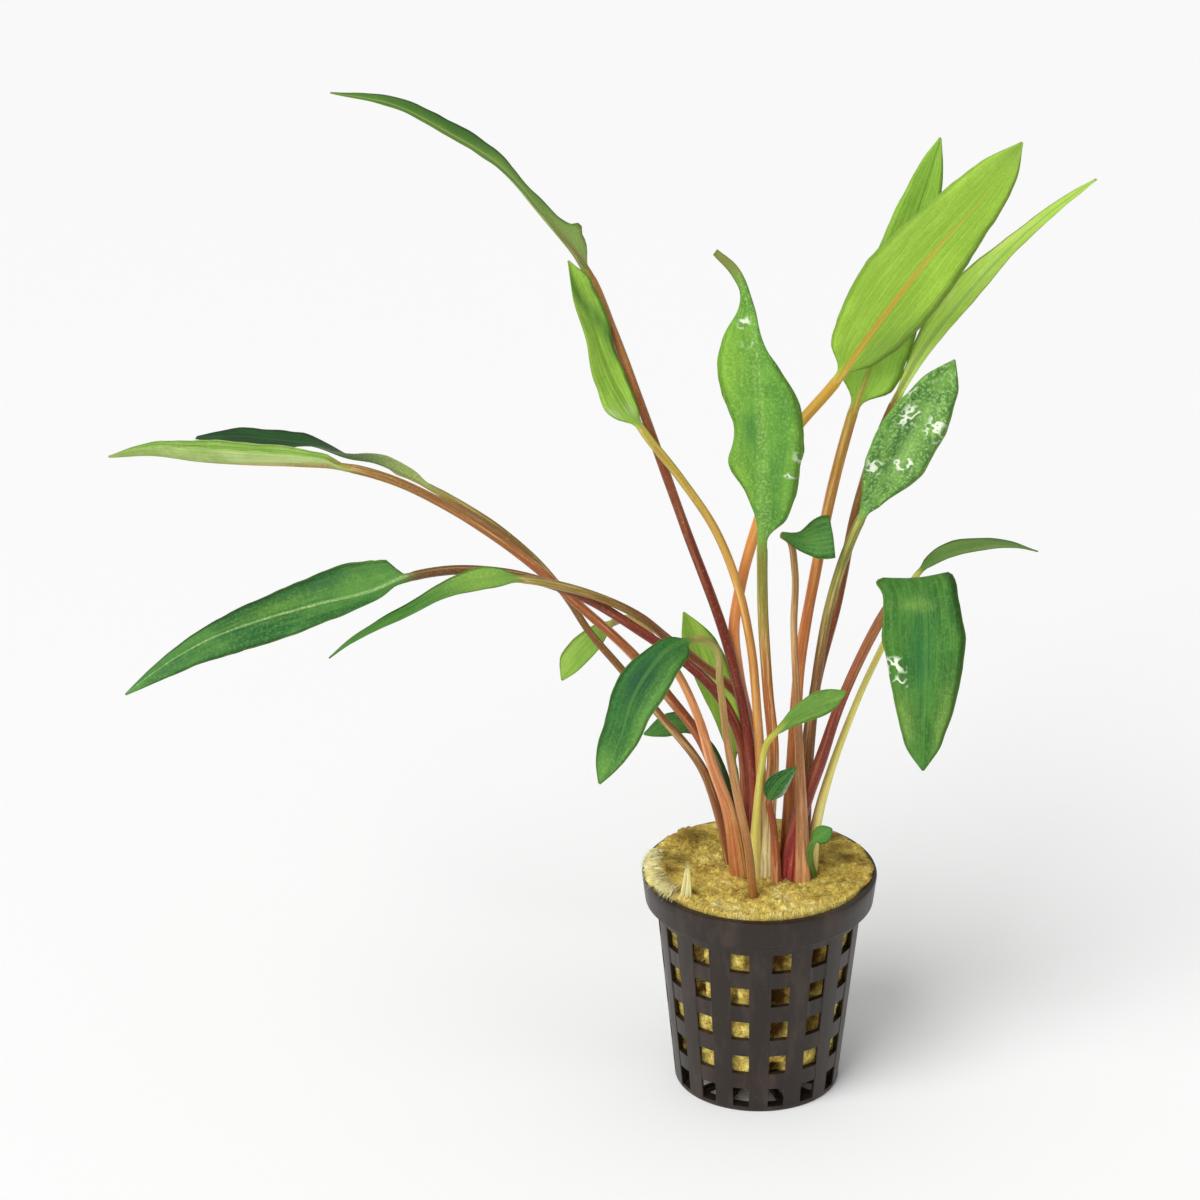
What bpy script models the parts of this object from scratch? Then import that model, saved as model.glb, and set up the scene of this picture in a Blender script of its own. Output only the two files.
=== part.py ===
"""Potted cryptocoryne: a net pot, a plug of rock wool and the leaves that stand in it.

Real size. Lengths in the constants are millimetres, and MM turns them into metres.
+Z is up, the origin is under the middle of the pot's floor, and the photograph is seen from -Y.
"""

import math

import bmesh
import bpy
from mathutils import Matrix, Vector

MM = 0.001
GAP = 0.35

# Net pot
POT_HEIGHT = 54.0
RIM_RADIUS = 27.5
RIM_BEVEL = 0.5
COLLAR_HEIGHT = 7.0
COLLAR_FOOT_RADIUS = 26.7
STEP_HEIGHT = 0.6
WALL_TOP_RADIUS = 24.2
WALL_FOOT_RADIUS = 19.4
POT_WALL = 1.2
WINDOW_COLUMNS = 15
WINDOW_ANGLE = 11.0
FIRST_WINDOW_ANGLE = -102.6
WINDOW_CENTRES = (40.5, 31.4, 22.3, 13.2, 4.6)
WINDOW_HEIGHT = 5.1
FLOOR_SLOTS = (16.6, 11.9, 7.0)

# Rock wool
WOOL_FOOT = 9.5
WOOL_DOME = 1.7
WOOL_LUMP = 0.35
CROWN_CENTRE = (2.6, 0.8)
CROWN_HALF_WIDTH = 12.6
CROWN_HALF_DEPTH = 10.2
CROWN_SQUARENESS = 2.6
POCKET_FLOOR = 50.2
FRONT_STALK = (-1.5, -15.2)
FRONT_POCKET_RADIUS = 1.9

# Leaves
STALK_FOOT = POCKET_FLOOR + GAP
TIP_HALF_WIDTH = 0.3
BLADE_HALF_THICKNESS = 0.24
RIB_AT_TIP = 0.3
BLADE_OPENS_OVER = 0.1
SECTION_POINTS = 8
ROUTE_STEPS = 10
BEND_WEIGHT = 25.0
STALK_RING_STEP = 18.0
BLADE_RING_STEP = 7.8

# Colours, linear
PLASTIC = (0.052, 0.040, 0.038)
WOOL = (0.46, 0.36, 0.10)
DARK_GREEN = (0.035, 0.16, 0.035)
MID_GREEN = (0.07, 0.25, 0.04)
LIGHT_GREEN = (0.20, 0.42, 0.05)
PALE_GREEN = (0.32, 0.44, 0.14)

# Each leaf grew as one piece. stalk and blade are the points of its midline, from the wool to the
# tip. left and right are the half widths at even steps along the blade, as seen by somebody who
# looks along the leaf at its upper face. across is the way its right half points, and fold is how
# far both halves rise from flat, in degrees, both read from the blade's base to its tip.
# wave is the height and the number of the waves in the margins.
LEAVES = (
    {
        "name": "tall_arching_leaf",
        "stalk": (
            (-1.2, -0.3, STALK_FOOT), (-1.3, -0.3, 72), (-2.2, 0, 83), (-8, 3, 110.5),
            (-18, 7, 138.5), (-28.5, 12, 167.5), (-34.5, 16, 183),
        ),
        "blade": (
            (-39.5, 19, 194.5), (-50, 21, 209), (-59.5, 22, 220), (-72, 22, 228.5),
            (-82.5, 22, 234), (-97.5, 21, 237.5),
        ),
        "left": (5.2, 4.6, 4.0, 4.8, 5.4, 5.2, 4.6, 3.6, 2.2),
        "right": (6.8, 4.8, 4.0, 4.8, 5.4, 5.2, 4.6, 3.6, 2.2),
        "across": ((0.1, 1, 0), (0, 1, 0.1)),
        "fold": (14, 14),
        "radius": (1.15, 0.85),
        "colour": DARK_GREEN,
    },
    {
        "name": "folded_upright_leaf",
        "stalk": (
            (1.3, -1.7, STALK_FOOT), (0.4, -2.1, 70.5), (-1, -1.2, 93.3), (-3, 0, 113),
            (-6, 1, 126.5), (-11, 3, 139), (-19, 5, 151),
        ),
        "blade": (
            (-28, 7, 162.5), (-35.5, 11, 174), (-39, 12, 184.5), (-42.5, 12, 194), (-44.5, 12, 201),
        ),
        "left": (3.8, 4.8, 4.4, 4.0, 2.8),
        "right": (2.6, 3.6, 3.2, 2.2, 1.4),
        "across": ((0.8, 0.6, 0.3), (0.7, 0.7, 0.2)),
        "fold": (22, 22),
        "radius": (1.0, 0.75),
        "colour": LIGHT_GREEN,
    },
    {
        "name": "wavy_centre_leaf",
        "stalk": (
            (1.6, -4.4, STALK_FOOT), (1.7, -4.5, 69), (2.6, -4, 87), (1.2, -4, 102), (-0.3, -6, 123),
        ),
        "blade": (
            (-0.8, -9, 140.5), (-1, -12, 153), (-1.5, -14, 166), (-2, -15, 178),
            (-3, -15, 188), (-4.5, -13, 200), (-8, -10, 207.5), (-12, -7, 210),
        ),
        "left": (1.9, 4.4, 6.8, 6.6, 7.6, 7.9, 6.4, 3.0, 1.6),
        "right": (5.8, 8.0, 8.5, 9.0, 8.2, 5.2, 2.2, 1.6, 1.2),
        "across": ((1, 0.1, 0), (1, 0, 0), (0.6, 0, 0.6)),
        "fold": (10, 10),
        "wave": (0.8, 3),
        "radius": (1.15, 0.95),
        "colour": MID_GREEN,
    },
    {
        "name": "broad_upper_leaf",
        "stalk": (
            (3, 2.4, STALK_FOOT), (0.8, 3.2, 70.5), (-2, 4, 86), (-5.5, 5.5, 103),
            (-6.5, 6, 113), (-5, 7, 124), (-1.5, 8, 138), (6, 11, 157),
        ),
        "blade": (
            (16.5, 13, 172), (22.5, 13, 181.5), (30, 12, 193), (38.5, 10, 205.5),
            (47, 7, 217), (55.5, 3, 232),
        ),
        "left": (6.0, 8.8, 11.0, 11.8, 11.2, 10.2, 9.2, 7.6, 5.0),
        "right": (5.2, 8.0, 9.0, 9.0, 8.4, 7.4, 6.1, 5.0, 3.4),
        "across": ((0.8, 0.2, -0.6), (0.8, 0.1, -0.6)),
        "fold": (6, 6),
        "wave": (0.4, 2),
        "radius": (1.15, 0.95),
        "colour": LIGHT_GREEN,
    },
    {
        "name": "upper_rear_leaf",
        "stalk": (
            (6.6, 4.6, STALK_FOOT), (8, 6, 90), (8.7, 7, 102), (12.5, 9, 128), (15.7, 12, 145), (19, 15, 158),
        ),
        "blade": (
            (21, 16.5, 165), (23.5, 18.5, 171), (26, 20.5, 179), (31, 23, 196.5),
            (34, 24, 207.5), (36.5, 24, 216.5), (39, 24, 226),
        ),
        "left": (6.2, 7.6, 7.8, 7.4, 6.8, 5.8, 4.8, 3.6, 2.4),
        "right": (6.4, 7.8, 8.0, 7.6, 7.0, 6.2, 5.2, 4.2, 2.6),
        "across": ((0.9, 0.1, -0.3), (0.9, 0.2, -0.3)),
        "fold": (10, 10),
        "radius": (1.15, 0.95),
        "colour": LIGHT_GREEN,
    },
    {
        "name": "slim_right_leaf",
        "stalk": (
            (9.4, 5.6, STALK_FOOT), (10.5, 7, 76.5), (12.6, 8, 97), (17.5, 10, 118.5),
            (21.5, 13, 140), (25.5, 15, 154),
        ),
        "blade": (
            (30, 17, 165), (36.5, 20, 176.5), (44.5, 24, 186), (56.3, 30, 197.5),
            (67, 34, 205), (76.5, 38, 210.5),
        ),
        "left": (2.4, 4.0, 4.4, 3.8, 2.9, 2.1, 1.8, 1.6, 1.2),
        "right": (1.8, 2.4, 2.8, 3.4, 3.4, 2.4, 2.3, 2.0, 1.3),
        "across": ((0.5, -0.7, -0.4), (0.4, -0.8, -0.3)),
        "fold": (18, 18),
        "radius": (1.1, 0.9),
        "colour": PALE_GREEN,
    },
    {
        "name": "mottled_right_leaf",
        "stalk": ((10, 1.4, STALK_FOOT), (10.7, 1, 79.5), (12.2, 0, 100.5), (15.5, -3, 125.5), (19, -5, 139)),
        "blade": (
            (21.5, -7, 146.5), (27, -10, 159), (32.5, -13, 170), (37, -15, 179), (41, -17, 188),
        ),
        "left": (3.5, 5.8, 7.2, 7.6, 7.2, 6.0, 4.4),
        "right": (3.5, 5.8, 7.2, 7.6, 7.2, 6.0, 4.4),
        "across": ((0.8, 0.2, -0.5), (0.8, 0.1, -0.5)),
        "fold": (12, 12),
        "wave": (0.5, 3),
        "radius": (1.1, 0.9),
        "colour": MID_GREEN,
    },
    {
        "name": "young_folded_leaf",
        "stalk": (
            (10, -6.5, STALK_FOOT), (9.2, -6.4, 75.5), (7.9, -5.2, 102.5), (7.1, -4.4, 118),
            (6.6, -2.6, 133), (5.6, -1.4, 137.2),
        ),
        "blade": ((4.2, -3, 139.4), (8, -5, 140), (11.5, -7, 141.5), (15.5, -8, 142.5)),
        "left": (1.2, 2.0, 3.0, 4.2, 5.0),
        "right": (1.2, 2.0, 3.2, 4.8, 5.4),
        "tip": 5.0,
        "across": ((0.1, -0.4, -0.9), (0, -0.4, -0.9)),
        "fold": (8, 8),
        "radius": (1.05, 0.65),
        "colour": MID_GREEN,
    },
    {
        "name": "drooping_right_leaf",
        "stalk": (
            (6.4, -4.6, STALK_FOOT), (8, -4, 65), (10.4, -2.8, 73.5), (13.6, -2, 83),
            (17.6, 0, 95.5), (23, 2, 108.5), (29, 0, 122),
        ),
        "blade": (
            (32.5, -4, 129), (34.5, -8, 131.5), (35.5, -13, 129), (36, -18, 119),
            (36, -21, 105), (36, -22, 90.5),
        ),
        "left": (8.0, 9.4, 9.6, 9.4, 9.0, 8.2, 7.0, 5.6, 3.7),
        "right": (10.2, 10.8, 10.8, 10.4, 9.2, 8.2, 7.0, 5.8, 4.0),
        "across": ((-1, -0.2, 0), (-1, 0, 0)),
        "fold": (8, 8),
        "radius": (1.6, 0.9),
        "colour": DARK_GREEN,
    },
    {
        "name": "slim_arching_right_leaf",
        "stalk": (
            (12, -1.4, STALK_FOOT), (12.8, -1.1, 65), (15.4, 1, 78), (19, 4, 88.5), (22.6, 6.5, 97),
            (28.5, 9, 108.5), (33, 10.5, 118.5),
        ),
        "blade": ((36, 11, 125), (42, 14, 129), (50.5, 18, 129.5), (57.5, 21, 128), (64.5, 23, 125.5)),
        "left": (2.4, 3.0, 3.0, 2.6, 1.6),
        "right": (2.4, 3.4, 3.6, 3.2, 1.8),
        "across": ((0.2, -0.9, -0.3), (0, -1, -0.1)),
        "fold": (4, 4),
        "radius": (1.05, 0.65),
        "colour": MID_GREEN,
    },
    {
        "name": "small_centre_leaf",
        "stalk": ((-1.2, -3.8, STALK_FOOT), (-1.2, -7, 70), (-0.3, -9, 84), (1, -10.5, 92)),
        "blade": ((2.6, -12, 95), (8, -14, 101.5), (14, -15, 105), (18.5, -16, 107.5)),
        "left": (0.8, 1.4, 2.0, 2.6, 2.0),
        "right": (1.6, 2.6, 3.2, 3.4, 2.8),
        "across": ((0.5, -0.5, -0.6), (0.4, -0.5, -0.8)),
        "fold": (12, 12),
        "radius": (0.95, 0.7),
        "colour": MID_GREEN,
    },
    {
        "name": "dark_young_leaf",
        "stalk": ((3.9, -6.5, STALK_FOOT), (2.6, -8.5, 71)),
        "blade": ((1.6, -10.5, 77.5), (3.5, -12, 82.5), (7.5, -13, 87)),
        "left": (1.8, 2.5, 2.5, 2.0, 1.2),
        "right": (2.0, 2.8, 2.7, 2.2, 1.3),
        "across": ((0.8, -0.2, -0.5), (0.6, -0.2, -0.7)),
        "fold": (15, 15),
        "radius": (0.85, 0.6),
        "colour": DARK_GREEN,
    },
    {
        "name": "spoon_leaf",
        "stalk": ((12.5, -4.6, STALK_FOOT), (12.3, -5.2, 55), (11.5, -7.8, 60), (11.4, -9.4, 64.4)),
        "blade": ((12.2, -10, 66.6), (14, -10.5, 68.5), (16.2, -10.5, 70)),
        "left": (1.6, 2.0, 2.2, 2.0, 1.4),
        "right": (1.6, 2.0, 2.2, 2.0, 1.4),
        "across": ((0.5, -0.3, -0.7), (0.5, -0.3, -0.7)),
        "fold": (8, 8),
        "radius": (0.75, 0.55),
        "colour": MID_GREEN,
    },
    {
        "name": "drooping_front_leaf",
        "stalk": (
            (-1.5, -15.2, STALK_FOOT), (-3.3, -15, 68), (-5.7, -15, 80), (-8.4, -16, 95.5),
            (-10.2, -18, 111), (-11.3, -20, 120), (-14, -21.5, 123),
        ),
        "blade": (
            (-17, -23, 123.5), (-22, -27, 123), (-26, -30, 119.5), (-30, -33, 113.5),
            (-32.5, -35, 105.5), (-37.5, -36, 94),
        ),
        "left": (4.6, 6.4, 7.4, 7.8, 7.2, 6.2, 5.0, 3.6, 2.2),
        "right": (2.4, 3.4, 4.6, 5.4, 5.4, 5.0, 4.8, 4.4, 3.0),
        "across": ((-0.4, 0.8, 0.4), (-0.8, 0.5, 0.3)),
        "fold": (10, 10),
        "radius": (1.25, 0.8),
        "colour": DARK_GREEN,
    },
    {
        "name": "pale_rear_leaf",
        "stalk": ((-3, 8.6, STALK_FOOT), (-4.2, 9.3, 60), (-5, 11, 67)),
        "blade": ((-6, 14, 74.5), (-8.7, 18, 84), (-12, 21, 93), (-15, 22, 102), (-18, 22, 109)),
        "left": (2.6, 3.4, 3.6, 3.4, 2.6),
        "right": (4.0, 5.8, 6.2, 5.4, 3.4),
        "across": ((0.9, 0.1, 0.3), (0.9, 0.1, 0.4)),
        "fold": (15, 15),
        "radius": (0.95, 0.75),
        "colour": LIGHT_GREEN,
    },
    {
        "name": "small_left_leaf",
        "stalk": ((-4.6, 5.6, STALK_FOOT), (-5.9, 8, 64), (-8.7, 12, 74.5), (-11.5, 14, 79.5)),
        "blade": ((-14, 15, 81.7), (-17, 16, 84), (-21.5, 17, 84), (-27, 18, 80.5)),
        "left": (2.0, 2.8, 3.0, 2.6, 1.8),
        "right": (1.8, 2.4, 2.6, 2.0, 1.2),
        "across": ((-0.1, 0.8, 0.6), (0, 0.8, 0.6)),
        "fold": (4, 4),
        "radius": (0.9, 0.7),
        "colour": DARK_GREEN,
    },
    {
        "name": "pale_left_leaf",
        "stalk": (
            (-4.4, -2.7, STALK_FOOT), (-8.4, -5, 73.5), (-11.5, -6, 84), (-14.4, -6, 95),
            (-18.8, -4, 105), (-23.6, 0, 111), (-28, 6, 114), (-31.6, 12, 113),
        ),
        "blade": ((-34.6, 15, 110.5), (-38, 17, 105.5), (-42, 18, 100), (-46.3, 18, 94.5)),
        "left": (2.0, 2.9, 3.0, 2.8, 2.1),
        "right": (2.0, 2.9, 3.2, 3.2, 2.5),
        "across": ((-0.5, 0.6, 0.6), (-0.6, 0.6, 0.5)),
        "fold": (10, 10),
        "radius": (1.5, 0.75),
        "colour": LIGHT_GREEN,
    },
    {
        "name": "long_low_leaf",
        "stalk": (
            (-2, 2.9, STALK_FOOT), (-3.2, 2.6, 74), (-4.6, 2.2, 86), (-10.2, -1.5, 100), (-17, -5, 109),
            (-27, -8, 118), (-44, -13, 131), (-60, -17, 137.5), (-73, -21, 139.5),
        ),
        "blade": (
            (-79.5, -23, 139), (-87, -25, 136.5), (-100.5, -28, 134.5), (-113, -31, 132.5),
            (-124, -34, 129.5), (-132.5, -37, 125.5), (-142.5, -39, 118),
        ),
        "left": (5.6, 6.6, 6.8, 6.8, 6.4, 5.8, 4.8, 3.6, 2.2),
        "right": (6.6, 7.0, 6.8, 6.6, 6.2, 5.6, 4.8, 3.8, 2.4),
        "across": ((-0.1, 0.88, 0.47), (-0.2, 0.88, 0.47)),
        "fold": (45, 30, 12, -4, -14, -16, -12),
        "radius": (1.15, 0.95),
        "colour": DARK_GREEN,
    },
    {
        "name": "twisted_low_leaf",
        "stalk": (
            (1.6, 5.8, STALK_FOOT), (-0.7, 7, 79), (-4.4, 8, 94), (-14.3, 5, 105), (-22, -1, 114),
            (-28.5, -7, 122.5), (-37.5, -13, 130), (-47.5, -18, 135.5),
        ),
        "blade": (
            (-55, -22, 138.5), (-61.5, -24, 139.5), (-67.5, -26, 139), (-72.5, -28, 138),
            (-79.5, -31, 135), (-86.5, -33.5, 132.5), (-93.5, -35.5, 129), (-97, -36, 126),
        ),
        "left": (2.4, 3.0, 3.2, 2.8, 1.8),
        "right": (2.4, 3.0, 3.2, 2.8, 1.8),
        "across": ((0, 0.6, 0.8), (-0.1, 0.95, 0.3), (-0.1, 1, 0.1), (-0.1, 1, 0.1)),
        "fold": (12, 12),
        "radius": (1.1, 0.8),
        "colour": DARK_GREEN,
    },
    {
        "name": "long_upper_left_leaf",
        "stalk": (
            (-4, 0.8, STALK_FOOT), (-6.3, 0.8, 64), (-9.9, 1, 77), (-13.5, 2, 86), (-21.6, 3, 97.5),
            (-29.7, 4, 107.5), (-42, 7, 118.5), (-49, 9, 124.5), (-60.5, 12, 133), (-74, 16, 140.5),
            (-85.5, 19, 145),
        ),
        "blade": (
            (-95, 21, 147), (-106.5, 24, 146.5), (-118.5, 27, 145.5), (-130.5, 30, 145),
            (-142, 33, 145.3), (-152, 35, 144),
        ),
        "left": (4.4, 5.0, 5.4, 5.6, 5.8, 5.8, 5.2, 4.2, 2.8),
        "right": (4.0, 4.4, 4.8, 5.0, 5.2, 5.2, 4.8, 3.8, 2.4),
        "across": ((0, 1, 0.15), (0, 1, 0.15)),
        "fold": (66, 66),
        "radius": (1.15, 0.95),
        "colour": PALE_GREEN,
    },
    {
        "name": "rear_upper_left_leaf",
        "stalk": (
            (-6.9, 0.6, STALK_FOOT), (-9.8, 2, 66), (-13.6, 4, 78.5), (-24, 8, 91), (-32.7, 10, 101.5),
            (-40, 12, 110), (-45, 14, 117.5), (-50, 17, 123), (-60.5, 20, 132),
        ),
        "blade": (
            (-75, 24, 140), (-84, 28, 143.5), (-89.5, 31, 145), (-96.5, 34, 145), (-105, 38, 146.5),
            (-114.5, 41, 146.5), (-123, 43, 146.5), (-132, 46, 144.5),
        ),
        "left": (3.4, 3.8, 3.4, 3.6, 4.2, 4.6, 4.6, 4.2, 2.8),
        "right": (3.4, 3.8, 3.4, 3.6, 4.2, 4.6, 4.6, 4.2, 2.8),
        "across": (
            (0, 0.7, -0.7), (0, 0.7, -0.7), (0, 0.92, -0.38), (0, 1, 0), (0, 1, 0.05), (0, 1, 0.1),
        ),
        "fold": (8, 8),
        "radius": (1.0, 0.8),
        "colour": PALE_GREEN,
    },
)


def clear_scene():
    for item in list(bpy.data.objects):
        bpy.data.objects.remove(item)


def make_collection(name):
    collection = bpy.data.collections.new(name)
    bpy.context.scene.collection.children.link(collection)
    return collection


def make_material(name, colour, roughness):
    material = bpy.data.materials.new(name)
    material.use_nodes = True
    shader = material.node_tree.nodes["Principled BSDF"]
    shader.inputs["Base Color"].default_value = (*colour, 1.0)
    shader.inputs["Roughness"].default_value = roughness
    shader.inputs["Metallic"].default_value = 0.0
    return material


def add_object(bm, name, collection, material=None):
    mesh = bpy.data.meshes.new(name)
    bm.to_mesh(mesh)
    bm.free()
    mesh.shade_smooth()
    mesh.set_sharp_from_angle(angle=math.radians(35))
    item = bpy.data.objects.new(name, mesh)
    collection.objects.link(item)
    if material:
        mesh.materials.append(material)
    return item


def wall_radius(height):
    """Outer radius of the pot's tapering wall at a height, in millimetres."""
    share = height / (POT_HEIGHT - COLLAR_HEIGHT - STEP_HEIGHT)
    return WALL_FOOT_RADIUS + (WALL_TOP_RADIUS - WALL_FOOT_RADIUS) * share


def pot_profile():
    """Outer profile of the pot from the rim down the wall and in along the floor."""
    collar_foot = POT_HEIGHT - COLLAR_HEIGHT
    step = collar_foot - STEP_HEIGHT
    profile = [
        (RIM_RADIUS - RIM_BEVEL, POT_HEIGHT),
        (RIM_RADIUS, POT_HEIGHT - RIM_BEVEL),
        (COLLAR_FOOT_RADIUS, collar_foot),
        (wall_radius(step), step),
    ]
    for centre in WINDOW_CENTRES:
        for height in (centre + WINDOW_HEIGHT / 2, centre - WINDOW_HEIGHT / 2):
            profile.append((wall_radius(height), height))
    profile.append((WALL_FOOT_RADIUS, 0.0))
    profile.extend((radius, 0.0) for radius in FLOOR_SLOTS)
    return profile


def is_window(face):
    """True for a face that stands where the wall or the floor is open."""
    centre = face.calc_center_median() / MM
    pitch = 360.0 / WINDOW_COLUMNS
    turn = (math.degrees(math.atan2(centre.y, centre.x)) - FIRST_WINDOW_ANGLE) % pitch
    off = min(turn, pitch - turn)
    if centre.z > 0.1:
        in_row = any(abs(centre.z - row) < WINDOW_HEIGHT / 2 for row in WINDOW_CENTRES)
        return in_row and off < WINDOW_ANGLE / 2
    on_spoke = WINDOW_ANGLE / 2 < turn < pitch / 2
    radius = math.hypot(centre.x, centre.y)
    return FLOOR_SLOTS[-1] < radius < FLOOR_SLOTS[0] and not on_spoke


def make_pot(collection):
    """The outer surface is spun round the axis, opened at the windows and thickened inwards."""
    bm = bmesh.new()
    corners = [bm.verts.new((radius * MM, 0, height * MM)) for radius, height in pot_profile()]
    ring = corners + [bm.edges.new(pair) for pair in zip(corners, corners[1:])]
    start = Matrix.Rotation(math.radians(FIRST_WINDOW_ANGLE - WINDOW_ANGLE / 2), 3, "Z")
    bmesh.ops.rotate(bm, verts=corners, matrix=start)
    strut_angle = 360.0 / WINDOW_COLUMNS - WINDOW_ANGLE
    for _ in range(WINDOW_COLUMNS):
        for angle, steps in ((WINDOW_ANGLE, 1), (strut_angle, 2)):
            turned = bmesh.ops.spin(
                bm, geom=ring, axis=(0, 0, 1), cent=(0, 0, 0), angle=math.radians(angle), steps=steps
            )
            ring = turned["geom_last"]
    bmesh.ops.remove_doubles(bm, verts=bm.verts, dist=0.01 * MM)
    floor_rim = [edge for edge in bm.edges if edge.is_boundary and edge.verts[0].co.z < 1 * MM]
    bmesh.ops.contextual_create(bm, geom=floor_rim)
    bmesh.ops.delete(bm, geom=[face for face in bm.faces if is_window(face)], context="FACES")
    bmesh.ops.recalc_face_normals(bm, faces=bm.faces)
    top_face = max(bm.faces, key=lambda face: face.calc_center_median().z)
    if top_face.normal.dot(top_face.calc_center_median() * Vector((1, 1, 0))) < 0:
        bmesh.ops.reverse_faces(bm, faces=bm.faces)
    pot = add_object(bm, "net_pot", collection, make_material("pot_plastic", PLASTIC, 0.45))
    shell = pot.modifiers.new("wall", "SOLIDIFY")
    shell.thickness = POT_WALL * MM
    shell.offset = -1.0
    shell.use_even_offset = True
    return pot


def wool_top(x, y):
    """Height of the wool's upper surface, which rises a little towards the back."""
    rise = WOOL_DOME * (0.5 + 0.5 * math.tanh(y / 9.0))
    lumps = WOOL_LUMP * math.sin(0.55 * x + 1.0) * math.cos(0.48 * y - 0.6)
    return POT_HEIGHT + 0.3 + rise + lumps


def make_wool(collection, cutters):
    """A turned plug that fills the pot, with the pocket that the crown was set into."""
    step = POT_HEIGHT - COLLAR_HEIGHT - STEP_HEIGHT
    inside = POT_WALL + GAP
    shoulder = step + 2 * POT_WALL
    profile = (
        (0.0, WOOL_FOOT),
        (wall_radius(WOOL_FOOT) - inside, WOOL_FOOT),
        (wall_radius(step) - inside, step),
        (wall_radius(step) - inside, shoulder),
        (COLLAR_FOOT_RADIUS - inside - 0.3, shoulder + 0.6),
        (RIM_RADIUS - inside - 0.5, POT_HEIGHT - 0.4),
        (RIM_RADIUS - inside - 1.3, POT_HEIGHT + 0.3),
        (22.5, POT_HEIGHT + 0.3),
        (18.0, POT_HEIGHT + 0.3),
        (0.0, POT_HEIGHT + 0.3),
    )
    bm = bmesh.new()
    corners = [bm.verts.new((radius * MM, 0, height * MM)) for radius, height in profile]
    edges = [bm.edges.new(pair) for pair in zip(corners, corners[1:])]
    bmesh.ops.spin(
        bm, geom=corners + edges, axis=(0, 0, 1), cent=(0, 0, 0), angle=math.tau, steps=24, use_merge=True
    )
    bmesh.ops.remove_doubles(bm, verts=bm.verts, dist=0.01 * MM)
    bmesh.ops.recalc_face_normals(bm, faces=bm.faces)
    for vert in bm.verts:
        if vert.co.z > (POT_HEIGHT + 0.2) * MM:
            edge = min(1.0, (RIM_RADIUS - inside - 0.3 - math.hypot(vert.co.x, vert.co.y) / MM) / 3.0)
            level = POT_HEIGHT + 0.1
            vert.co.z = (level + edge * (wool_top(vert.co.x / MM, vert.co.y / MM) - level)) * MM
    wool = add_object(bm, "rock_wool", collection, make_material("rock_wool", WOOL, 0.95))
    for name, cutter in (("crown", crown_cutter(cutters)), ("front_stalk", front_cutter(cutters))):
        pocket = wool.modifiers.new(name, "BOOLEAN")
        pocket.operation = "DIFFERENCE"
        pocket.object = cutter
    return wool


def crown_outline(turn):
    """A point of the pocket's rounded outline at an angle."""
    power = 2.0 / CROWN_SQUARENESS
    cosine, sine = math.cos(turn), math.sin(turn)
    x = CROWN_CENTRE[0] + CROWN_HALF_WIDTH * math.copysign(abs(cosine) ** power, cosine)
    y = CROWN_CENTRE[1] + CROWN_HALF_DEPTH * math.copysign(abs(sine) ** power, sine)
    return x, y


def crown_cutter(collection):
    """A cylinder whose rings are moved onto the crown's rounded outline."""
    sides = 24
    bm = bmesh.new()
    made = bmesh.ops.create_cone(
        bm, cap_ends=True, segments=sides, radius1=1.0, radius2=1.0, depth=12 * MM
    )
    for vert in made["verts"]:
        x, y = crown_outline(math.atan2(vert.co.y, vert.co.x))
        vert.co = Vector((x * MM, y * MM, vert.co.z + (POCKET_FLOOR + 6) * MM))
    return as_cutter(add_object(bm, "crown_pocket", collection))


def front_cutter(collection):
    """The pocket of the one stalk that stands apart at the front."""
    bm = bmesh.new()
    bmesh.ops.create_cone(
        bm, cap_ends=True, segments=12, radius1=FRONT_POCKET_RADIUS * MM,
        radius2=FRONT_POCKET_RADIUS * MM, depth=12 * MM,
    )
    shift = Vector((FRONT_STALK[0], FRONT_STALK[1], POCKET_FLOOR + 6)) * MM
    bmesh.ops.translate(bm, verts=bm.verts, vec=shift)
    return as_cutter(add_object(bm, "front_pocket", collection))


def as_cutter(item):
    item.hide_render = True
    item.display_type = "WIRE"
    return item


def smooth_route(points):
    """Points on one smooth curve through the given ones, each span a cubic Hermite."""
    points = [Vector(point) for point in points]
    spans = [(b - a).length for a, b in zip(points, points[1:])]
    slopes = [(b - a) / span for a, b, span in zip(points, points[1:], spans)]
    tangents = [slopes[0]]
    for i in range(1, len(points) - 1):
        before, after = spans[i - 1], spans[i]
        tangents.append((slopes[i - 1] * after + slopes[i] * before) / (before + after))
    tangents.append(slopes[-1])
    route = []
    for i, span in enumerate(spans):
        for step in range(ROUTE_STEPS):
            t = step / ROUTE_STEPS
            route.append(
                points[i] * (2 * t**3 - 3 * t**2 + 1)
                + tangents[i] * span * (t**3 - 2 * t**2 + t)
                + points[i + 1] * (3 * t**2 - 2 * t**3)
                + tangents[i + 1] * span * (t**3 - t**2)
            )
    route.append(points[-1])
    return route


def ring_places(route, count):
    """Points, directions and shares of the length, set closer together where the route bends."""
    steps = [b - a for a, b in zip(route, route[1:])]
    turns = [0.0] + [a.angle(b) for a, b in zip(steps, steps[1:])]
    lengths, efforts = [0.0], [0.0]
    for step, turn in zip(steps, turns):
        lengths.append(lengths[-1] + step.length)
        efforts.append(efforts[-1] + step.length + BEND_WEIGHT * turn)
    places = []
    k = 0
    for i in range(count + 1):
        target = efforts[-1] * i / count
        while k < len(steps) - 1 and efforts[k + 1] < target:
            k += 1
        part = min(1.0, (target - efforts[k]) / (efforts[k + 1] - efforts[k]))
        share = (lengths[k] + steps[k].length * part) / lengths[-1]
        places.append((route[k].lerp(route[k + 1], part), steps[k].normalized(), share))
    return places


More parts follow.
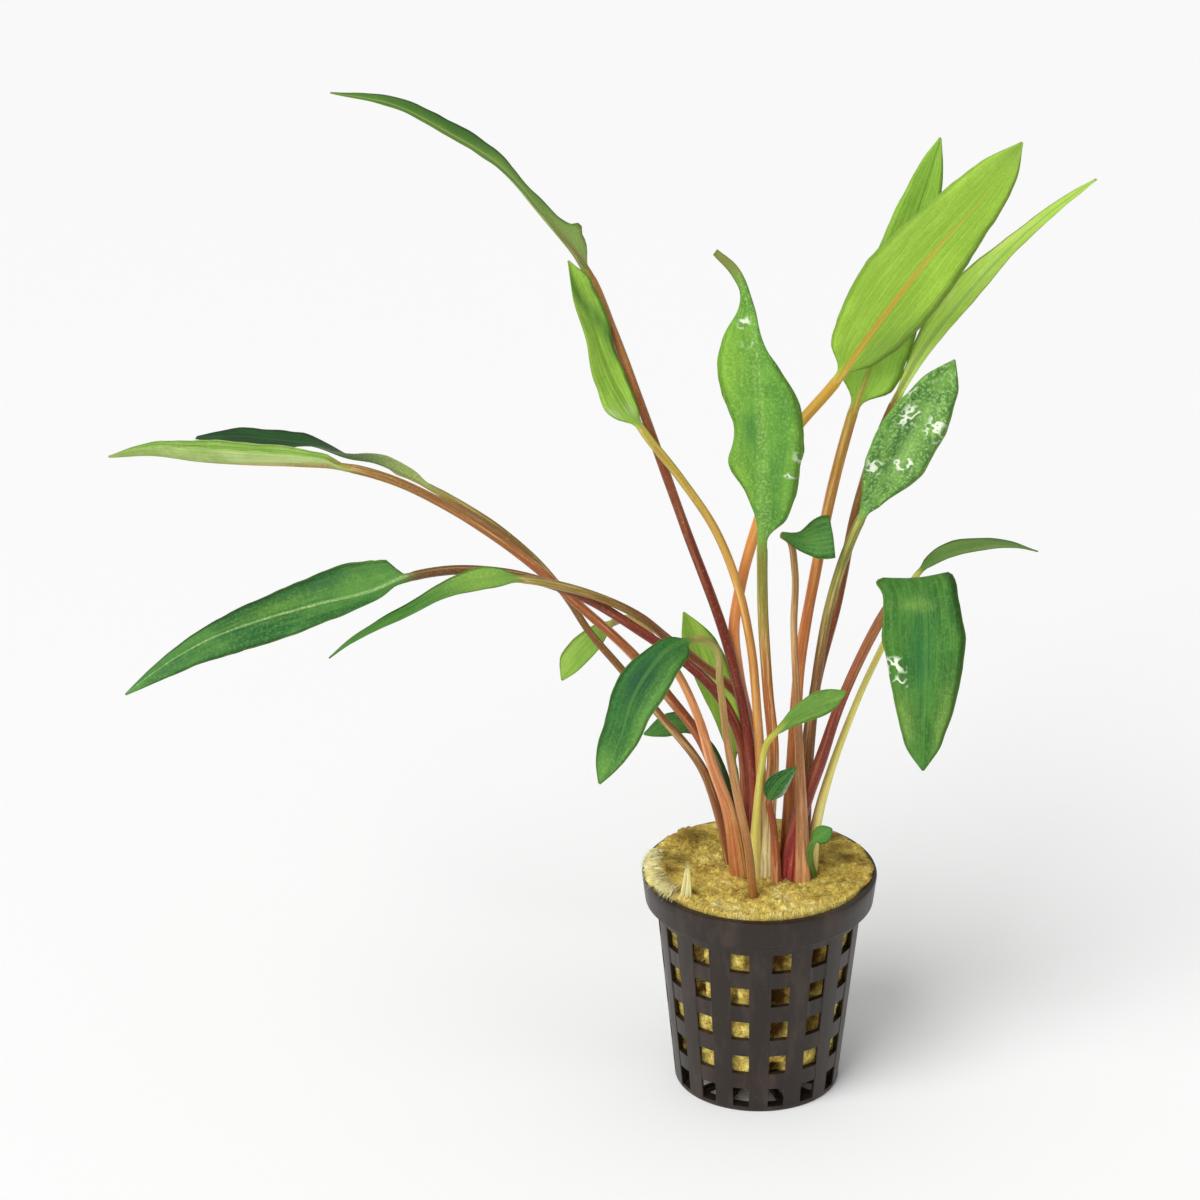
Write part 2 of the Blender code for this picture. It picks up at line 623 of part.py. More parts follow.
def route_effort(route):
    """Length of a route plus what its bends add, which sets how many rings it is given."""
    steps = [b - a for a, b in zip(route, route[1:])]
    bends = sum(a.angle(b) for a, b in zip(steps, steps[1:]))
    return sum(step.length for step in steps) + BEND_WEIGHT * bends


def between(values, share):
    """A value read from an even list at a share of its length, in straight steps."""
    place = min(max(share, 0.0), 1.0) * (len(values) - 1)
    i = min(int(place), len(values) - 2)
    return values[i] + (values[i + 1] - values[i]) * (place - i)


def square_to(direction, across):
    return (across - direction * across.dot(direction)).normalized()


def stalk_section(radius):
    """Eight points round a stalk, as (across, up) pairs, from the right hand side upwards."""
    turns = [math.tau * i / SECTION_POINTS for i in range(SECTION_POINTS)]
    return [(radius * math.cos(turn), radius * math.sin(turn)) for turn in turns]


def blade_section(left, right, fold, rib, lift_left, lift_right):
    """Eight points round a blade: two sharp margins, two thin halves and the midrib."""
    def half(width, lift, share):
        return width * share * math.cos(fold), width * share * math.sin(fold) + lift * share

    right_edge = half(right, lift_right, 1.0)
    right_mid = half(right, lift_right, 0.5)
    left_edge = half(left, lift_left, 1.0)
    left_mid = half(left, lift_left, 0.5)
    thick = min(BLADE_HALF_THICKNESS, 0.5 * rib + 0.1)
    out, up = thick * math.sin(fold), thick * math.cos(fold)
    return [
        right_edge,
        (right_mid[0] - out, right_mid[1] + up),
        (0.0, 0.6 * rib),
        (-left_mid[0] + out, left_mid[1] + up),
        (-left_edge[0], left_edge[1]),
        (-left_mid[0] - out, left_mid[1] - up),
        (0.0, -rib),
        (right_mid[0] + out, right_mid[1] - up),
    ]


def place_ring(bm, centre, side, up, section):
    return [bm.verts.new((centre + side * x + up * y) * MM) for x, y in section]


def stalk_rings(leaf, route, side):
    """Round sections up the stalk. Their side is carried down from the blade, so they don't twist."""
    foot_radius, neck_radius = leaf["radius"]
    places = ring_places(route, max(4, round(route_effort(route) / STALK_RING_STEP)))
    rings = []
    for centre, direction, share in reversed(places[:-1]):
        side = square_to(direction, side)
        radius = foot_radius + (neck_radius - foot_radius) * min(1.0, 1.6 * share)
        rings.insert(0, (centre, side, side.cross(direction), stalk_section(radius)))
    return rings


def blade_rings(leaf, route):
    """Sections that open from the round stalk into two thin halves and close at the tip."""
    neck_radius = leaf["radius"][1]
    across = [Vector(way) for way in leaf["across"]]
    tip = leaf.get("tip", TIP_HALF_WIDTH)
    left = [neck_radius, *leaf["left"], tip]
    right = [neck_radius, *leaf["right"], tip]
    wave_height, waves = leaf.get("wave", (0.0, 1))
    rings = []
    count = min(12, max(7, round(route_effort(route) / BLADE_RING_STEP)))
    for centre, direction, share in ring_places(route, count):
        side = square_to(direction, between(across, share))
        opening = min(1.0, share / BLADE_OPENS_OVER)
        rib = neck_radius * (1 - share) * (1 - 0.5 * opening) + RIB_AT_TIP * share
        swing = wave_height * math.sin(math.pi * share)
        fold = math.radians(between(leaf["fold"], share)) * opening
        thin = blade_section(
            between(left, share), between(right, share), fold, rib,
            swing * math.sin(math.tau * waves * share), swing * math.cos(math.tau * waves * share),
        )
        pairs = zip(stalk_section(neck_radius), thin)
        section = [Vector(round_one).lerp(Vector(thin_one), opening) for round_one, thin_one in pairs]
        rings.append((centre, side, side.cross(direction), section))
    return rings


def leaf_rings(leaf):
    """Every (centre, side, up, section) from the leaf's foot to its tip, in millimetres."""
    route = smooth_route(leaf["stalk"] + leaf["blade"])
    neck = ROUTE_STEPS * len(leaf["stalk"])
    blade = blade_rings(leaf, route[neck:])
    return stalk_rings(leaf, route[: neck + 1], blade[0][1]) + blade


def make_leaf(leaf, collection):
    """A loft from the round stalk to the thin blade, closed at both ends."""
    bm = bmesh.new()
    rings = [place_ring(bm, *parts) for parts in leaf_rings(leaf)]
    for lower, upper in zip(rings, rings[1:]):
        for i in range(SECTION_POINTS):
            j = (i + 1) % SECTION_POINTS
            bm.faces.new((lower[i], lower[j], upper[j], upper[i]))
    bm.faces.new(rings[0])
    bm.faces.new(rings[-1])
    bmesh.ops.recalc_face_normals(bm, faces=bm.faces)
    material = make_material(leaf["name"] + "_green", leaf["colour"], 0.4)
    return add_object(bm, leaf["name"], collection, material)


def main():
    clear_scene()
    parts = make_collection("potted_cryptocoryne")
    cutters = make_collection("cutters")
    make_pot(parts)
    make_wool(parts, cutters)
    for leaf in LEAVES:
        make_leaf(leaf, parts)


main()
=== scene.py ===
# %% [markdown]
# # A cryptocoryne in its net pot
# A cryptocoryne is a small water plant. All its leaves rise from one crown: each has a long, thin petiole
# and a lance-shaped blade. This one stands in a plug of rock wool inside a black net pot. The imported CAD
# model is loaded first and stays as it is. Every piece made below stands for one of its nodes.

import math

import bmesh
import bpy
import numpy as np
from mathutils import Matrix, Vector, noise


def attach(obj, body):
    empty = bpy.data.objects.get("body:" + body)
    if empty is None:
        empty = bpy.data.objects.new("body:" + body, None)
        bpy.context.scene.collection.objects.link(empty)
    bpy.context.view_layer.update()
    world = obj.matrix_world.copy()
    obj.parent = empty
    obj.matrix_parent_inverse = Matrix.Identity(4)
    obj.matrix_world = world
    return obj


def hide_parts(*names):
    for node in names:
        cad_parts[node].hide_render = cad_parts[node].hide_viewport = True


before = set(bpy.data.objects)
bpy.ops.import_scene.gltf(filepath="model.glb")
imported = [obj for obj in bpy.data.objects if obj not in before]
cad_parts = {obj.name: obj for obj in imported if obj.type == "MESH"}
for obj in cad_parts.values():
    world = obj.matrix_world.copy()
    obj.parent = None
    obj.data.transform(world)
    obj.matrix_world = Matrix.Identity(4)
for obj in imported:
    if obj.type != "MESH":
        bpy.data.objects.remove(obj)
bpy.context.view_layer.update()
MM = 0.001

# %% [markdown]
# ## The camera
# The pot's rim shows as an ellipse whose height is 0.41 of its width, so the camera looks down at 24
# degrees. One could guess the distance and adjust the view by eye. Here it was worked out from how much the
# pot narrows towards its foot, and the lens follows from the width that the picture takes in at that
# distance.

# %% Camera
DISTANCE = 1.15
PICTURE_WIDTH = 0.28104
SENSOR = 36.0
LOOKS_DOWN = 24
CAMERA_PLACE = (-0.03736, -1.02491, 0.57941)

camera_data = bpy.data.cameras.new("camera")
camera_data.sensor_width = SENSOR
camera_data.lens = SENSOR * DISTANCE / PICTURE_WIDTH
camera_data.clip_end = 10.0
camera = bpy.data.objects.new("camera", camera_data)
camera.location = CAMERA_PLACE
camera.rotation_euler = (math.radians(90 - LOOKS_DOWN), 0, 0)
bpy.context.scene.collection.objects.link(camera)
bpy.context.scene.camera = camera
print("lens", round(camera_data.lens, 1), "mm")

# %% [markdown]
# ## Light
# The photograph was taken on white in a soft studio, with its strongest light high on the left. A bright,
# even world gives the fill, a very broad sun from the upper left gives the leaves their light and dark
# sides, and one softbox low in front gives the pot its sheen.

# %% World and lamps
WORLD_STRENGTH = 0.5

scene = bpy.context.scene
scene.view_settings.view_transform = "Standard"
scene.view_settings.look = "None"

world = bpy.data.worlds.new("studio")
world.use_nodes = True
world.node_tree.nodes["Background"].inputs["Color"].default_value = (1.0, 1.0, 1.0, 1.0)
world.node_tree.nodes["Background"].inputs["Strength"].default_value = WORLD_STRENGTH
scene.world = world


def add_lamp(name, kind, place, target, size, strength):
    """A lamp that faces a point: size is its width, or for a sun its angle in degrees."""
    lamp_data = bpy.data.lights.new(name, kind)
    if kind == "SUN":
        lamp_data.angle = math.radians(size)
    else:
        lamp_data.size = size
    lamp_data.energy = strength
    lamp = bpy.data.objects.new(name, lamp_data)
    lamp.location = place
    lamp.rotation_euler = (Vector(target) - Vector(place)).to_track_quat("-Z", "Y").to_euler()
    scene.collection.objects.link(lamp)
    print(name, kind.lower(), strength)


add_lamp("broad_sun", "SUN", (-0.5, -0.6, 0.8), (0, 0, 0), 40.0, 2.1)
add_lamp("front_softbox", "AREA", (-0.35, -1.1, 0.45), (0, 0, 0.1), 0.5, 1.7)

# %% [markdown]
# ## Nodes that read like sums
# Shader nodes can be placed by hand in the editor. In a script a sum is easier to follow than a web of
# links, so an output of a node becomes something that can be added and multiplied, and each sum adds the
# node that does it. First come the two steps below all the rest: adding a node, and linking or setting its
# inputs.

# %% Adding nodes
def connect(node, inputs):
    """Sets a node's inputs: an output is linked, and a plain number or colour is written into the socket."""
    for key, value in dict(inputs).items():
        if isinstance(value, Output):
            node.id_data.links.new(value.socket, node.inputs[key])
        else:
            node.inputs[key].default_value = value


def put(tree, kind, inputs=(), **settings):
    """Adds a shader node and returns its outputs, by name or number."""
    node = tree.nodes.new("ShaderNode" + kind)
    for key, value in settings.items():
        setattr(node, key, value)
    connect(node, inputs)
    return Outputs(node.outputs)


def maths(tree, operation, first, second=0.0):
    """One arithmetic node."""
    return put(tree, "Math", {0: first, 1: second}, operation=operation)[0]


# %% [markdown]
# ## Reckoning with outputs
# The class below gives an output of a node the signs of arithmetic. It also has the three steps that nearly
# every finish needs: a soft step from 0 to 1, noise at a place, and the relief that noise gives.

# %% Outputs of nodes
class Outputs:
    """All outputs of one node."""

    def __init__(self, sockets):
        self.sockets = sockets

    def __getitem__(self, key):
        return Output(self.sockets[key])


class Output:
    """One output of a node, that can be reckoned with."""

    def __init__(self, socket):
        self.socket = socket
        self.tree = socket.id_data

    def __add__(self, other):
        return maths(self.tree, "ADD", self, other)

    def __radd__(self, other):
        return maths(self.tree, "ADD", other, self)

    def __sub__(self, other):
        return maths(self.tree, "SUBTRACT", self, other)

    def __rsub__(self, other):
        return maths(self.tree, "SUBTRACT", other, self)

    def __mul__(self, other):
        return maths(self.tree, "MULTIPLY", self, other)

    def __truediv__(self, other):
        return maths(self.tree, "DIVIDE", self, other)

    def __rtruediv__(self, other):
        return maths(self.tree, "DIVIDE", other, self)

    def __abs__(self):
        return maths(self.tree, "ABSOLUTE", self)

    def clamped(self):
        """The same, kept between 0 and 1."""
        self.socket.node.use_clamp = True
        return self

    def rise(self, low, high):
        """0 below low and 1 above high, with a soft passage between them."""
        inputs = {"Value": self, "From Min": low, "From Max": high}
        return put(self.tree, "MapRange", inputs, interpolation_type="SMOOTHSTEP")["Result"]

    def xyz(self):
        """The three parts of a vector."""
        parts = put(self.tree, "SeparateXYZ", {0: self})
        return parts["X"], parts["Y"], parts["Z"]

    def cloud(self, scale, detail, roughness=0.5, distortion=0.0):
        """Soft noise at this place, from 0 to 1."""
        amounts = {"Scale": scale, "Detail": detail, "Roughness": roughness, "Distortion": distortion}
        return put(self.tree, "TexNoise", {"Vector": self, **amounts})[0]

    def bump(self, strength, depth):
        """The tilted normal of a relief that is depth millimetres high."""
        inputs = {"Height": self, "Strength": strength, "Distance": depth * MM}
        return put(self.tree, "Bump", inputs)["Normal"]


# %% [markdown]
# ## Colours, materials and groups
# Colours are written as a screen shows them, from 0 to 255, because that is how they are chosen.
# Then follow the shells of a material and of a node group. A group could be built by hand and kept in a
# file, but this script has to stand alone.

# %% Colours, materials and groups
def mix(share, first, second, blend_type="MIX"):
    """first where share is 0, second where it is 1."""
    inputs = {0: share, 6: first, 7: second}
    return put(share.tree, "Mix", inputs, data_type="RGBA", blend_type=blend_type)[2]


def vector_of(x, y, z):
    """A place made of three values."""
    return put(x.tree, "CombineXYZ", {0: x, 1: y, 2: z})[0]


def attribute(tree, name, kind="Vector"):
    """What was written on the mesh under a name."""
    return put(tree, "Attribute", attribute_name=name)[kind]


def tint(red, green, blue):
    """A colour as a screen shows it, from 0 to 255, turned into the linear one that a surface takes."""
    shares = [part / 255 for part in (red, green, blue)]
    return (*(s / 12.92 if s <= 0.04045 else ((s + 0.055) / 1.055) ** 2.4 for s in shares), 1.0)


def new_material(name):
    """A material with only its Principled shader and its output."""
    material = bpy.data.materials.new(name)
    material.use_nodes = True
    return material, material.node_tree, material.node_tree.nodes["Principled BSDF"]


def new_group(name, inputs, outputs):
    """A node group with named sockets, given as (name, kind, default) and (name, kind)."""
    tree = bpy.data.node_groups.new(name, "ShaderNodeTree")
    for label, kind, default in inputs:
        socket = tree.interface.new_socket(label, in_out="INPUT", socket_type="NodeSocket" + kind)
        if default is not None:
            socket.default_value = default
    for label, kind in outputs:
        tree.interface.new_socket(label, in_out="OUTPUT", socket_type="NodeSocket" + kind)
    print("group", name, [label for label, _ in outputs])
    return tree, Outputs(tree.nodes.new("NodeGroupInput").outputs), tree.nodes.new("NodeGroupOutput")


print("a screen's middle grey is", round(tint(128, 128, 128)[0], 3), "in linear light")


# %% [markdown]
# ## Building blocks for meshes
# Leaf and wool are both skins stretched over rings. Each ring has the same number of points, so faces join
# them one to one, and the two ends are closed. That and the step from a loose mesh to an object are written
# once.

# %% Mesh helpers
def on_circle(radius, turn):
    """(x, y) at a turn, in radians, round the middle."""
    return radius * math.cos(turn), radius * math.sin(turn)


def join_rings(build, rings):
    """A closed skin over rings of points."""
    count = len(rings[0])
    for lower, upper in zip(rings, rings[1:]):
        for i in range(count):
            j = (i + 1) % count
            build.faces.new((lower[i], lower[j], upper[j], upper[i]))
    build.faces.new(rings[0])
    build.faces.new(rings[-1])
    bmesh.ops.recalc_face_normals(build, faces=build.faces)


def mesh_of(name, build):
    """The mesh of what was built."""
    mesh = bpy.data.meshes.new(name)
    build.to_mesh(mesh)
    build.free()
    return mesh


def new_piece(name, mesh):
    """An object with soft shading from a mesh."""
    mesh.shade_smooth()
    piece = bpy.data.objects.new(name, mesh)
    scene.collection.objects.link(piece)
    print(name, len(mesh.polygons), "faces")
    return piece


# %% [markdown]
# ## The floor
# The photograph has a plain white ground. One large square of pale, dull paint stands for it, and a very
# faint cloud in its colour keeps it from looking computed.

# %% Floor
FLOOR_HALF = 3.0

build = bmesh.new()
bmesh.ops.create_grid(build, x_segments=1, y_segments=1, size=FLOOR_HALF)
floor = new_piece("floor", mesh_of("floor", build))
floor_paint, tree, shader = new_material("pale_floor")
grain = put(tree, "TexNoise", {"Scale": 3.0, "Detail": 2.0})[0]
paint = mix(grain, (0.96, 0.96, 0.96, 1.0), (0.99, 0.99, 0.99, 1.0))
connect(shader, {"Base Color": paint, "Roughness": 0.9})
floor.data.materials.append(floor_paint)
print("floor", 2 * FLOOR_HALF, "m square")

# %% [markdown]
# ## What the leaf finishes share: veins
# Every blade has a midrib, and fine veins that run side by side from the base to the tip. They could be
# painted leaf by leaf. A shader group does it once, and each leaf sets how many lines it has and how wide
# its midrib is. It reads two attributes of the mesh, the place on the leaf (how far along, how far across,
# which face) and the same in millimetres, so that the pattern follows the leaf however it bends.

# %% Group: veins, midrib and margin
veins_group, given, result = new_group(
    "blade_veins",
    [
        ("Place", "Vector", None), ("Millimetres", "Vector", None),
        ("Lines", "Float", 4.0), ("Rib", "Float", 0.8),
    ],
    [("Midrib", "Float"), ("Veins", "Float"), ("Margin", "Float"), ("Ladder", "Float")],
)
along, sideways, _ = given["Place"].xyz()
distance, offset, _ = given["Millimetres"].xyz()
wobble = given["Millimetres"].cloud(scale=0.16, detail=2.0)
off_middle = abs(sideways)
rib_far = abs(offset) / (given["Rib"] * (1.15 - along))
line_turns = (off_middle + wobble * 0.1) * given["Lines"] * math.tau
ladder_turns = distance * 2.6 + off_middle * -5.0 + wobble * 9.0
connect(result, {
    "Midrib": 1.0 - rib_far.rise(0.45, 1.1),
    "Veins": maths(veins_group, "COSINE", line_turns).rise(0.2, 1.0),
    "Margin": off_middle.rise(0.86, 1.0),
    "Ladder": maths(veins_group, "SINE", ladder_turns).rise(0.72, 1.0),
})

# %% [markdown]
# ## Mottling
# No leaf is of one green. There are broad patches, drawn out along the leaf, fine specks, threads between
# the veins, and curled white marks, which are painted glints standing in for reflections on the wet leaf.
# All four are noise at different sizes. The curls are the narrow band where a slow noise passes its
# middle, which gives loose hooks and rings.

# %% Group: mottling along the leaf
mottle_group, given, result = new_group(
    "leaf_mottle",
    [
        ("Millimetres", "Vector", None), ("Seed", "Float", 0.0),
        ("Size", "Float", 6.0), ("Stretch", "Float", 2.5),
    ],
    [("Patches", "Float"), ("Specks", "Float"), ("Streaks", "Float"), ("Curls", "Float")],
)
distance, offset, depth = given["Millimetres"].xyz()
drawn_out = vector_of(distance / given["Stretch"], offset, depth + given["Seed"])
close = vector_of(distance, offset, given["Seed"])
lengthwise = vector_of(distance * 0.1, offset, given["Seed"])
broad = drawn_out.cloud(scale=1.0 / given["Size"], detail=5.0, roughness=0.62)
fine = close.cloud(scale=1.5, detail=3.0, roughness=0.7)
thread = lengthwise.cloud(scale=1.7, detail=4.0, roughness=0.7)
slow = close.cloud(scale=0.42, detail=1.0)
connect(result, {
    "Patches": broad.rise(0.36, 0.64),
    "Specks": fine.rise(0.48, 0.64),
    "Streaks": thread.rise(0.44, 0.66),
    "Curls": 1.0 - abs(slow * 2.0 - 1.0).rise(0.08, 0.18),
})

# %% [markdown]
# ## Petioles
# A petiole goes from tan or red at its foot to green under the blade. The passage is uneven, dark and light
# threads run up it, and it has pale dots. The light threads are pale streaks and painted highlights at
# once. The group takes the colours of foot, middle and top, so that red, rust, straw and green petioles
# all come from it. The midrib uses it too, because it is the petiole that goes on into the blade.

# %% Group: the colours of a petiole
petiole_group, given, result = new_group(
    "petiole_tint",
    [
        ("Place", "Vector", None), ("Millimetres", "Vector", None), ("Seed", "Float", 0.0),
        ("Foot", "Color", None), ("Middle", "Color", None), ("Top", "Color", None), ("Blush", "Color", None),
        ("Blush amount", "Float", 0.4), ("Pale threads and highlights", "Float", 0.36),
    ],
    [("Colour", "Color"), ("Streaks", "Float")],
)
along = given["Place"].xyz()[0]
distance, offset, depth = given["Millimetres"].xyz()
depth = depth + given["Seed"]
threads = vector_of(distance * 0.035, offset, depth).cloud(scale=1.1, detail=4.0, roughness=0.7)
dots = vector_of(distance, offset, depth).cloud(scale=1.6, detail=3.0, roughness=0.7).rise(0.52, 0.8)
height = along + 1.0 + (threads - 0.5) * 0.35
colour = mix(height.rise(0.04, 0.42), given["Foot"], given["Middle"])
colour = mix(height.rise(0.5, 1.0), colour, given["Top"])
dark_threads = threads.rise(0.46, 0.58)
colour = mix(dark_threads * given["Blush amount"], colour, given["Blush"])
# The light threads are pale streaks and, in part, painted highlights on the petiole.
pale_threads_and_highlights = (1.0 - threads.rise(0.36, 0.47)) * given["Pale threads and highlights"]
colour = mix((dots * 0.2 + pale_threads_and_highlights).clamped(), colour, tint(248, 214, 150))
connect(result, {"Colour": colour, "Streaks": dark_threads})

# %% [markdown]
# ## The finish of a leaf
# One leaf differs from the next in its greens, in how red its petiole is and in how mottled it is. So a
# function builds the material from a short list of colours. The blade's upper and under faces have their
# own greens, the margin a lighter rim, and the midrib starts in the petiole's colour and turns green
# towards the tip. A third attribute, painted on the mesh further down, says where the blade gets painted
# white glints, painted shade and painted highlights, the last two in places also darker and paler
# patches of the leaf.

# %% Groups of one leaf
def leaf_groups(tree, look, seed, places):
    """The three shared groups, set for one leaf: its petiole, its veins and its mottling."""
    colours = {name: tint(*look[name.lower()]) for name in ("Foot", "Middle", "Top", "Blush")}
    amounts = {"Seed": seed * 7.3, "Blush amount": look["blush_amount"], "Pale threads and highlights": look["threads"]}
    petiole = put(tree, "Group", {**places, **colours, **amounts}, node_tree=petiole_group)
    lines = {"Lines": look["lines"], "Rib": look["rib_width"]}
    veins = put(tree, "Group", {**places, **lines}, node_tree=veins_group)
    patches = {"Seed": seed * 11.7, "Size": look["patch"], "Stretch": look["stretch"]}
    patches["Millimetres"] = places["Millimetres"]
    mottle = put(tree, "Group", patches, node_tree=mottle_group)
    return petiole, veins, mottle


# %% [markdown]
# ## From greens to a finish
# The colours are laid over each other as a painter would: the two greens, threads, veins, specks, rim,
# painted shade and painted highlights, the midrib and the painted white glints. Mixing everything in one
# sum would be shorter and would hide which layer lies on top. Below the blade all of it gives way to the
# petiole's own colour.

# %% Leaf material
GREEN_FROM, GREEN_TO = -0.03, 0.05
DRY_FROM, DRY_TO = 0.84, 0.95
# The white of the painted glints, which stand in for reflections on the wet leaf.
PAINTED_GLINT_WHITE = tint(238, 248, 222)
THREAD_SHADE = (0.60, 0.74, 0.52, 1.0)


def leaf_material(name, look, seed):
    """The whole finish of one leaf from its own colours."""
    material, tree, shader = new_material(name + "_skin")
    places = {"Place": attribute(tree, "leaf_place"), "Millimetres": attribute(tree, "leaf_mm")}
    along, _, upward = places["Place"].xyz()
    # torn holds the painted glints, shaded the painted shade and glowing the painted highlights; shade and
    # highlights are in places darker and paler patches of the leaf too.
    torn, shaded, glowing = attribute(tree, "leaf_marks").xyz()
    petiole, veins, mottle = leaf_groups(tree, look, seed, places)
    specks = mottle["Specks"]
    under, upper = (
        mix(mottle["Patches"], tint(*look[face][0]), tint(*look[face][1])) for face in ("under", "upper")
    )
    blade = mix(upward, under, upper)
    blade = mix(mottle["Streaks"] * look["grain"], blade, THREAD_SHADE, "MULTIPLY")
    layers = (
        (veins["Veins"] * look["line_strength"], "line"),
        (veins["Ladder"] * look["ladder"], "line"),
        (specks * look["specks"], "speck"),
        (veins["Margin"] * look["rim_strength"], "rim"),
        # painted shade and painted highlights, in places also darker and paler patches of the leaf
        (shaded, "shade"),
        (glowing * (0.6 + specks * 0.4), "glow"),
    )
    for share, name_of_colour in layers:
        blade = mix(share, blade, tint(*look[name_of_colour]))
    rib = mix(along.rise(look["rib_from"], look["rib_to"]), petiole["Colour"], tint(*look["rib"]))
    unbroken = (1 - look["rib_broken"]) + specks * look["rib_broken"]
    blade = mix(veins["Midrib"] * look["rib_strength"] * unbroken, blade, rib)
    # Painted glints: white curls inside the marked places, standing in for reflections on the wet leaf.
    glints = (torn * mottle["Curls"]).clamped()
    blade = mix(glints, blade, PAINTED_GLINT_WHITE)
    if "end" in look:
        blade = mix(along.rise(DRY_FROM, DRY_TO), blade, tint(*look["end"]))
    leafy = along.rise(GREEN_FROM, GREEN_TO)
    relief = specks * 0.5 + petiole["Streaks"] * 0.6 - veins["Veins"] * 0.8 + glints * 2.0
    connect(shader, {
        "Base Color": mix(leafy, petiole["Colour"], blade),
        "Roughness": 0.34 + leafy * (0.12 + mottle["Patches"] * 0.16),
        "Normal": relief.bump(strength=0.5, depth=0.14),
        "Specular IOR Level": 0.2,
    })
    return material


# %% [markdown]
# ## The run of a leaf
# A leaf is drawn as a line from its foot in the wool to its tip, and then given its width. The same points
# stand in the part's source, which this script can't read. A curve object with a bevel would give the
# petiole, but not a blade with a fold, a twist and two different faces, so the rings are set along a smooth
# route and joined.

# %% A smooth route
STALK_FOOT = 50.55
STEP = 1.1


def slopes_at(points, spans):
    """The direction and speed at each point of a route, from its neighbours."""
    slopes = [(b - a) / span for a, b, span in zip(points, points[1:], spans)]
    inner = [
        (slopes[i] * spans[i + 1] + slopes[i + 1] * spans[i]) / (spans[i] + spans[i + 1])
        for i in range(len(spans) - 1)
    ]
    return [slopes[0], *inner, slopes[-1]]


def smooth_route(points):
    """Points about STEP apart on a smooth curve through the given ones, and the index of each of those."""
    points = [Vector(point) for point in points]
    spans = [(b - a).length for a, b in zip(points, points[1:])]
    tangents = slopes_at(points, spans)
    route, marks = [], []
    for i, span in enumerate(spans):
        marks.append(len(route))
        steps = max(4, round(span / STEP))
        for step in range(steps):
            t = step / steps
            # the usual weights of a curve with a given direction at both ends
            route.append(
                points[i] * (2 * t**3 - 3 * t**2 + 1)
                + tangents[i] * span * (t**3 - 2 * t**2 + t)
                + points[i + 1] * (3 * t**2 - 2 * t**3)
                + tangents[i + 1] * span * (t**3 - t**2)
            )
    marks.append(len(route))
    route.append(points[-1])
    return route, marks


corner, _ = smooth_route([(0, 0, 0), (10, 0, 0), (10, 10, 0)])
print("a route round a corner:", len(corner), "points")

# %% [markdown]
# ## Directions and lengths
# A ring stands square to the route, and widths go by how far along it lies, so both are measured here.

# %% Directions and lengths
def directions(route):
    """The way the route runs at each of its points."""
    ahead = [(b - a).normalized() for a, b in zip(route, route[1:])]
    return [ahead[0]] + [(a + b).normalized() for a, b in zip(ahead, ahead[1:])] + [ahead[-1]]


def shares(route):
    """How far along the route each point is, from 0 to 1, and the whole length."""
    lengths = [0.0]
    for a, b in zip(route, route[1:]):
        lengths.append(lengths[-1] + (b - a).length)
    return [length / lengths[-1] for length in lengths], lengths[-1]


print("length of the route round the corner", round(shares(corner)[1], 1), "mm")


# %% [markdown]
# ## Reading between listed values
# Widths, folds and sides are given only at even steps along a leaf. Straight steps between them do for
# folds and sides, but would put corners in a margin, so widths are read along a smooth curve through the
# numbers.

# %% Reading between listed values
def place_in(values, share):
    """The listed value before a share of the way, and how far it is to the next."""
    place = min(max(share, 0.0), 1.0) * (len(values) - 1)
    i = min(int(place), len(values) - 2)
    return i, place - i


def between(values, share):
    """A value read in straight steps from an even list."""
    i, t = place_in(values, share)
    return values[i] + (values[i + 1] - values[i]) * t


def rounded(values, share):
    """A value read from an even list along a smooth curve through its numbers."""
    i, t = place_in(values, share)
    a, b = values[i], values[i + 1]
    before = values[i - 1] if i else 2 * a - b
    after = values[i + 2] if i + 2 < len(values) else 2 * b - a
    bend = 2 * before - 5 * a + 4 * b - after + t * (3 * (a - b) + after - before)
    return a + 0.5 * t * (b - before + t * bend)


def square_to(direction, across):
    """The part of a side that stands square to a direction."""
    return (across - direction * across.dot(direction)).normalized()


numbers = (1, 2, 5)
print("a third of the way:", round(between(numbers, 1 / 3), 2), "or", round(rounded(numbers, 1 / 3), 2))


# %% [markdown]
# ## The section of a petiole
# Cut across, a petiole is round with a shallow groove on top and faint ridges. A plain circle with a bump
# map would do from afar. The ring has 18 points anyway, so that it can open into the blade, and they carry
# the groove.

# %% Petiole section
HALF = 9
GROOVE_DEPTH, GROOVE_WIDTH = 0.12, 0.4
RIDGES, RIDGE_HEIGHT = 7, 0.025
SWELL, SWELL_LENGTH = 0.05, 9
TURNS = [math.pi * i / HALF for i in range(2 * HALF)]


def petiole_section(radius, distance, seed):
    """(across, up) of each point round a petiole."""
    swell = SWELL * noise.noise(Vector((distance / SWELL_LENGTH, seed, 0)))
    section = []
    for turn in TURNS:
        groove = GROOVE_DEPTH * math.exp(-(((turn - math.pi / 2) / GROOVE_WIDTH) ** 2))
        ridges = RIDGE_HEIGHT * math.cos(RIDGES * turn + seed)
        section.append(on_circle(radius * (1 - groove + ridges + swell), turn))
    return section


print("points round a petiole", len(petiole_section(1.0, 0.0, 0.0)))


# %% [markdown]
# ## How wide a blade is
# A blade's two halves are never alike, so each has its own widths, with lobes and nicks as small bumps
# added to them.

# %% Width of a blade
def half_width(leaf, side, share, neck):
    """The width of one half with its lobes and nicks, in millimetres."""
    width = rounded([neck, *leaf[side], leaf["tip"]], share)
    extra = 0.0
    for lobe_side, place, size, reach in leaf["lobes"]:
        if lobe_side == side:
            extra += size * math.exp(-(((share - place) / reach) ** 2))
    return width + extra


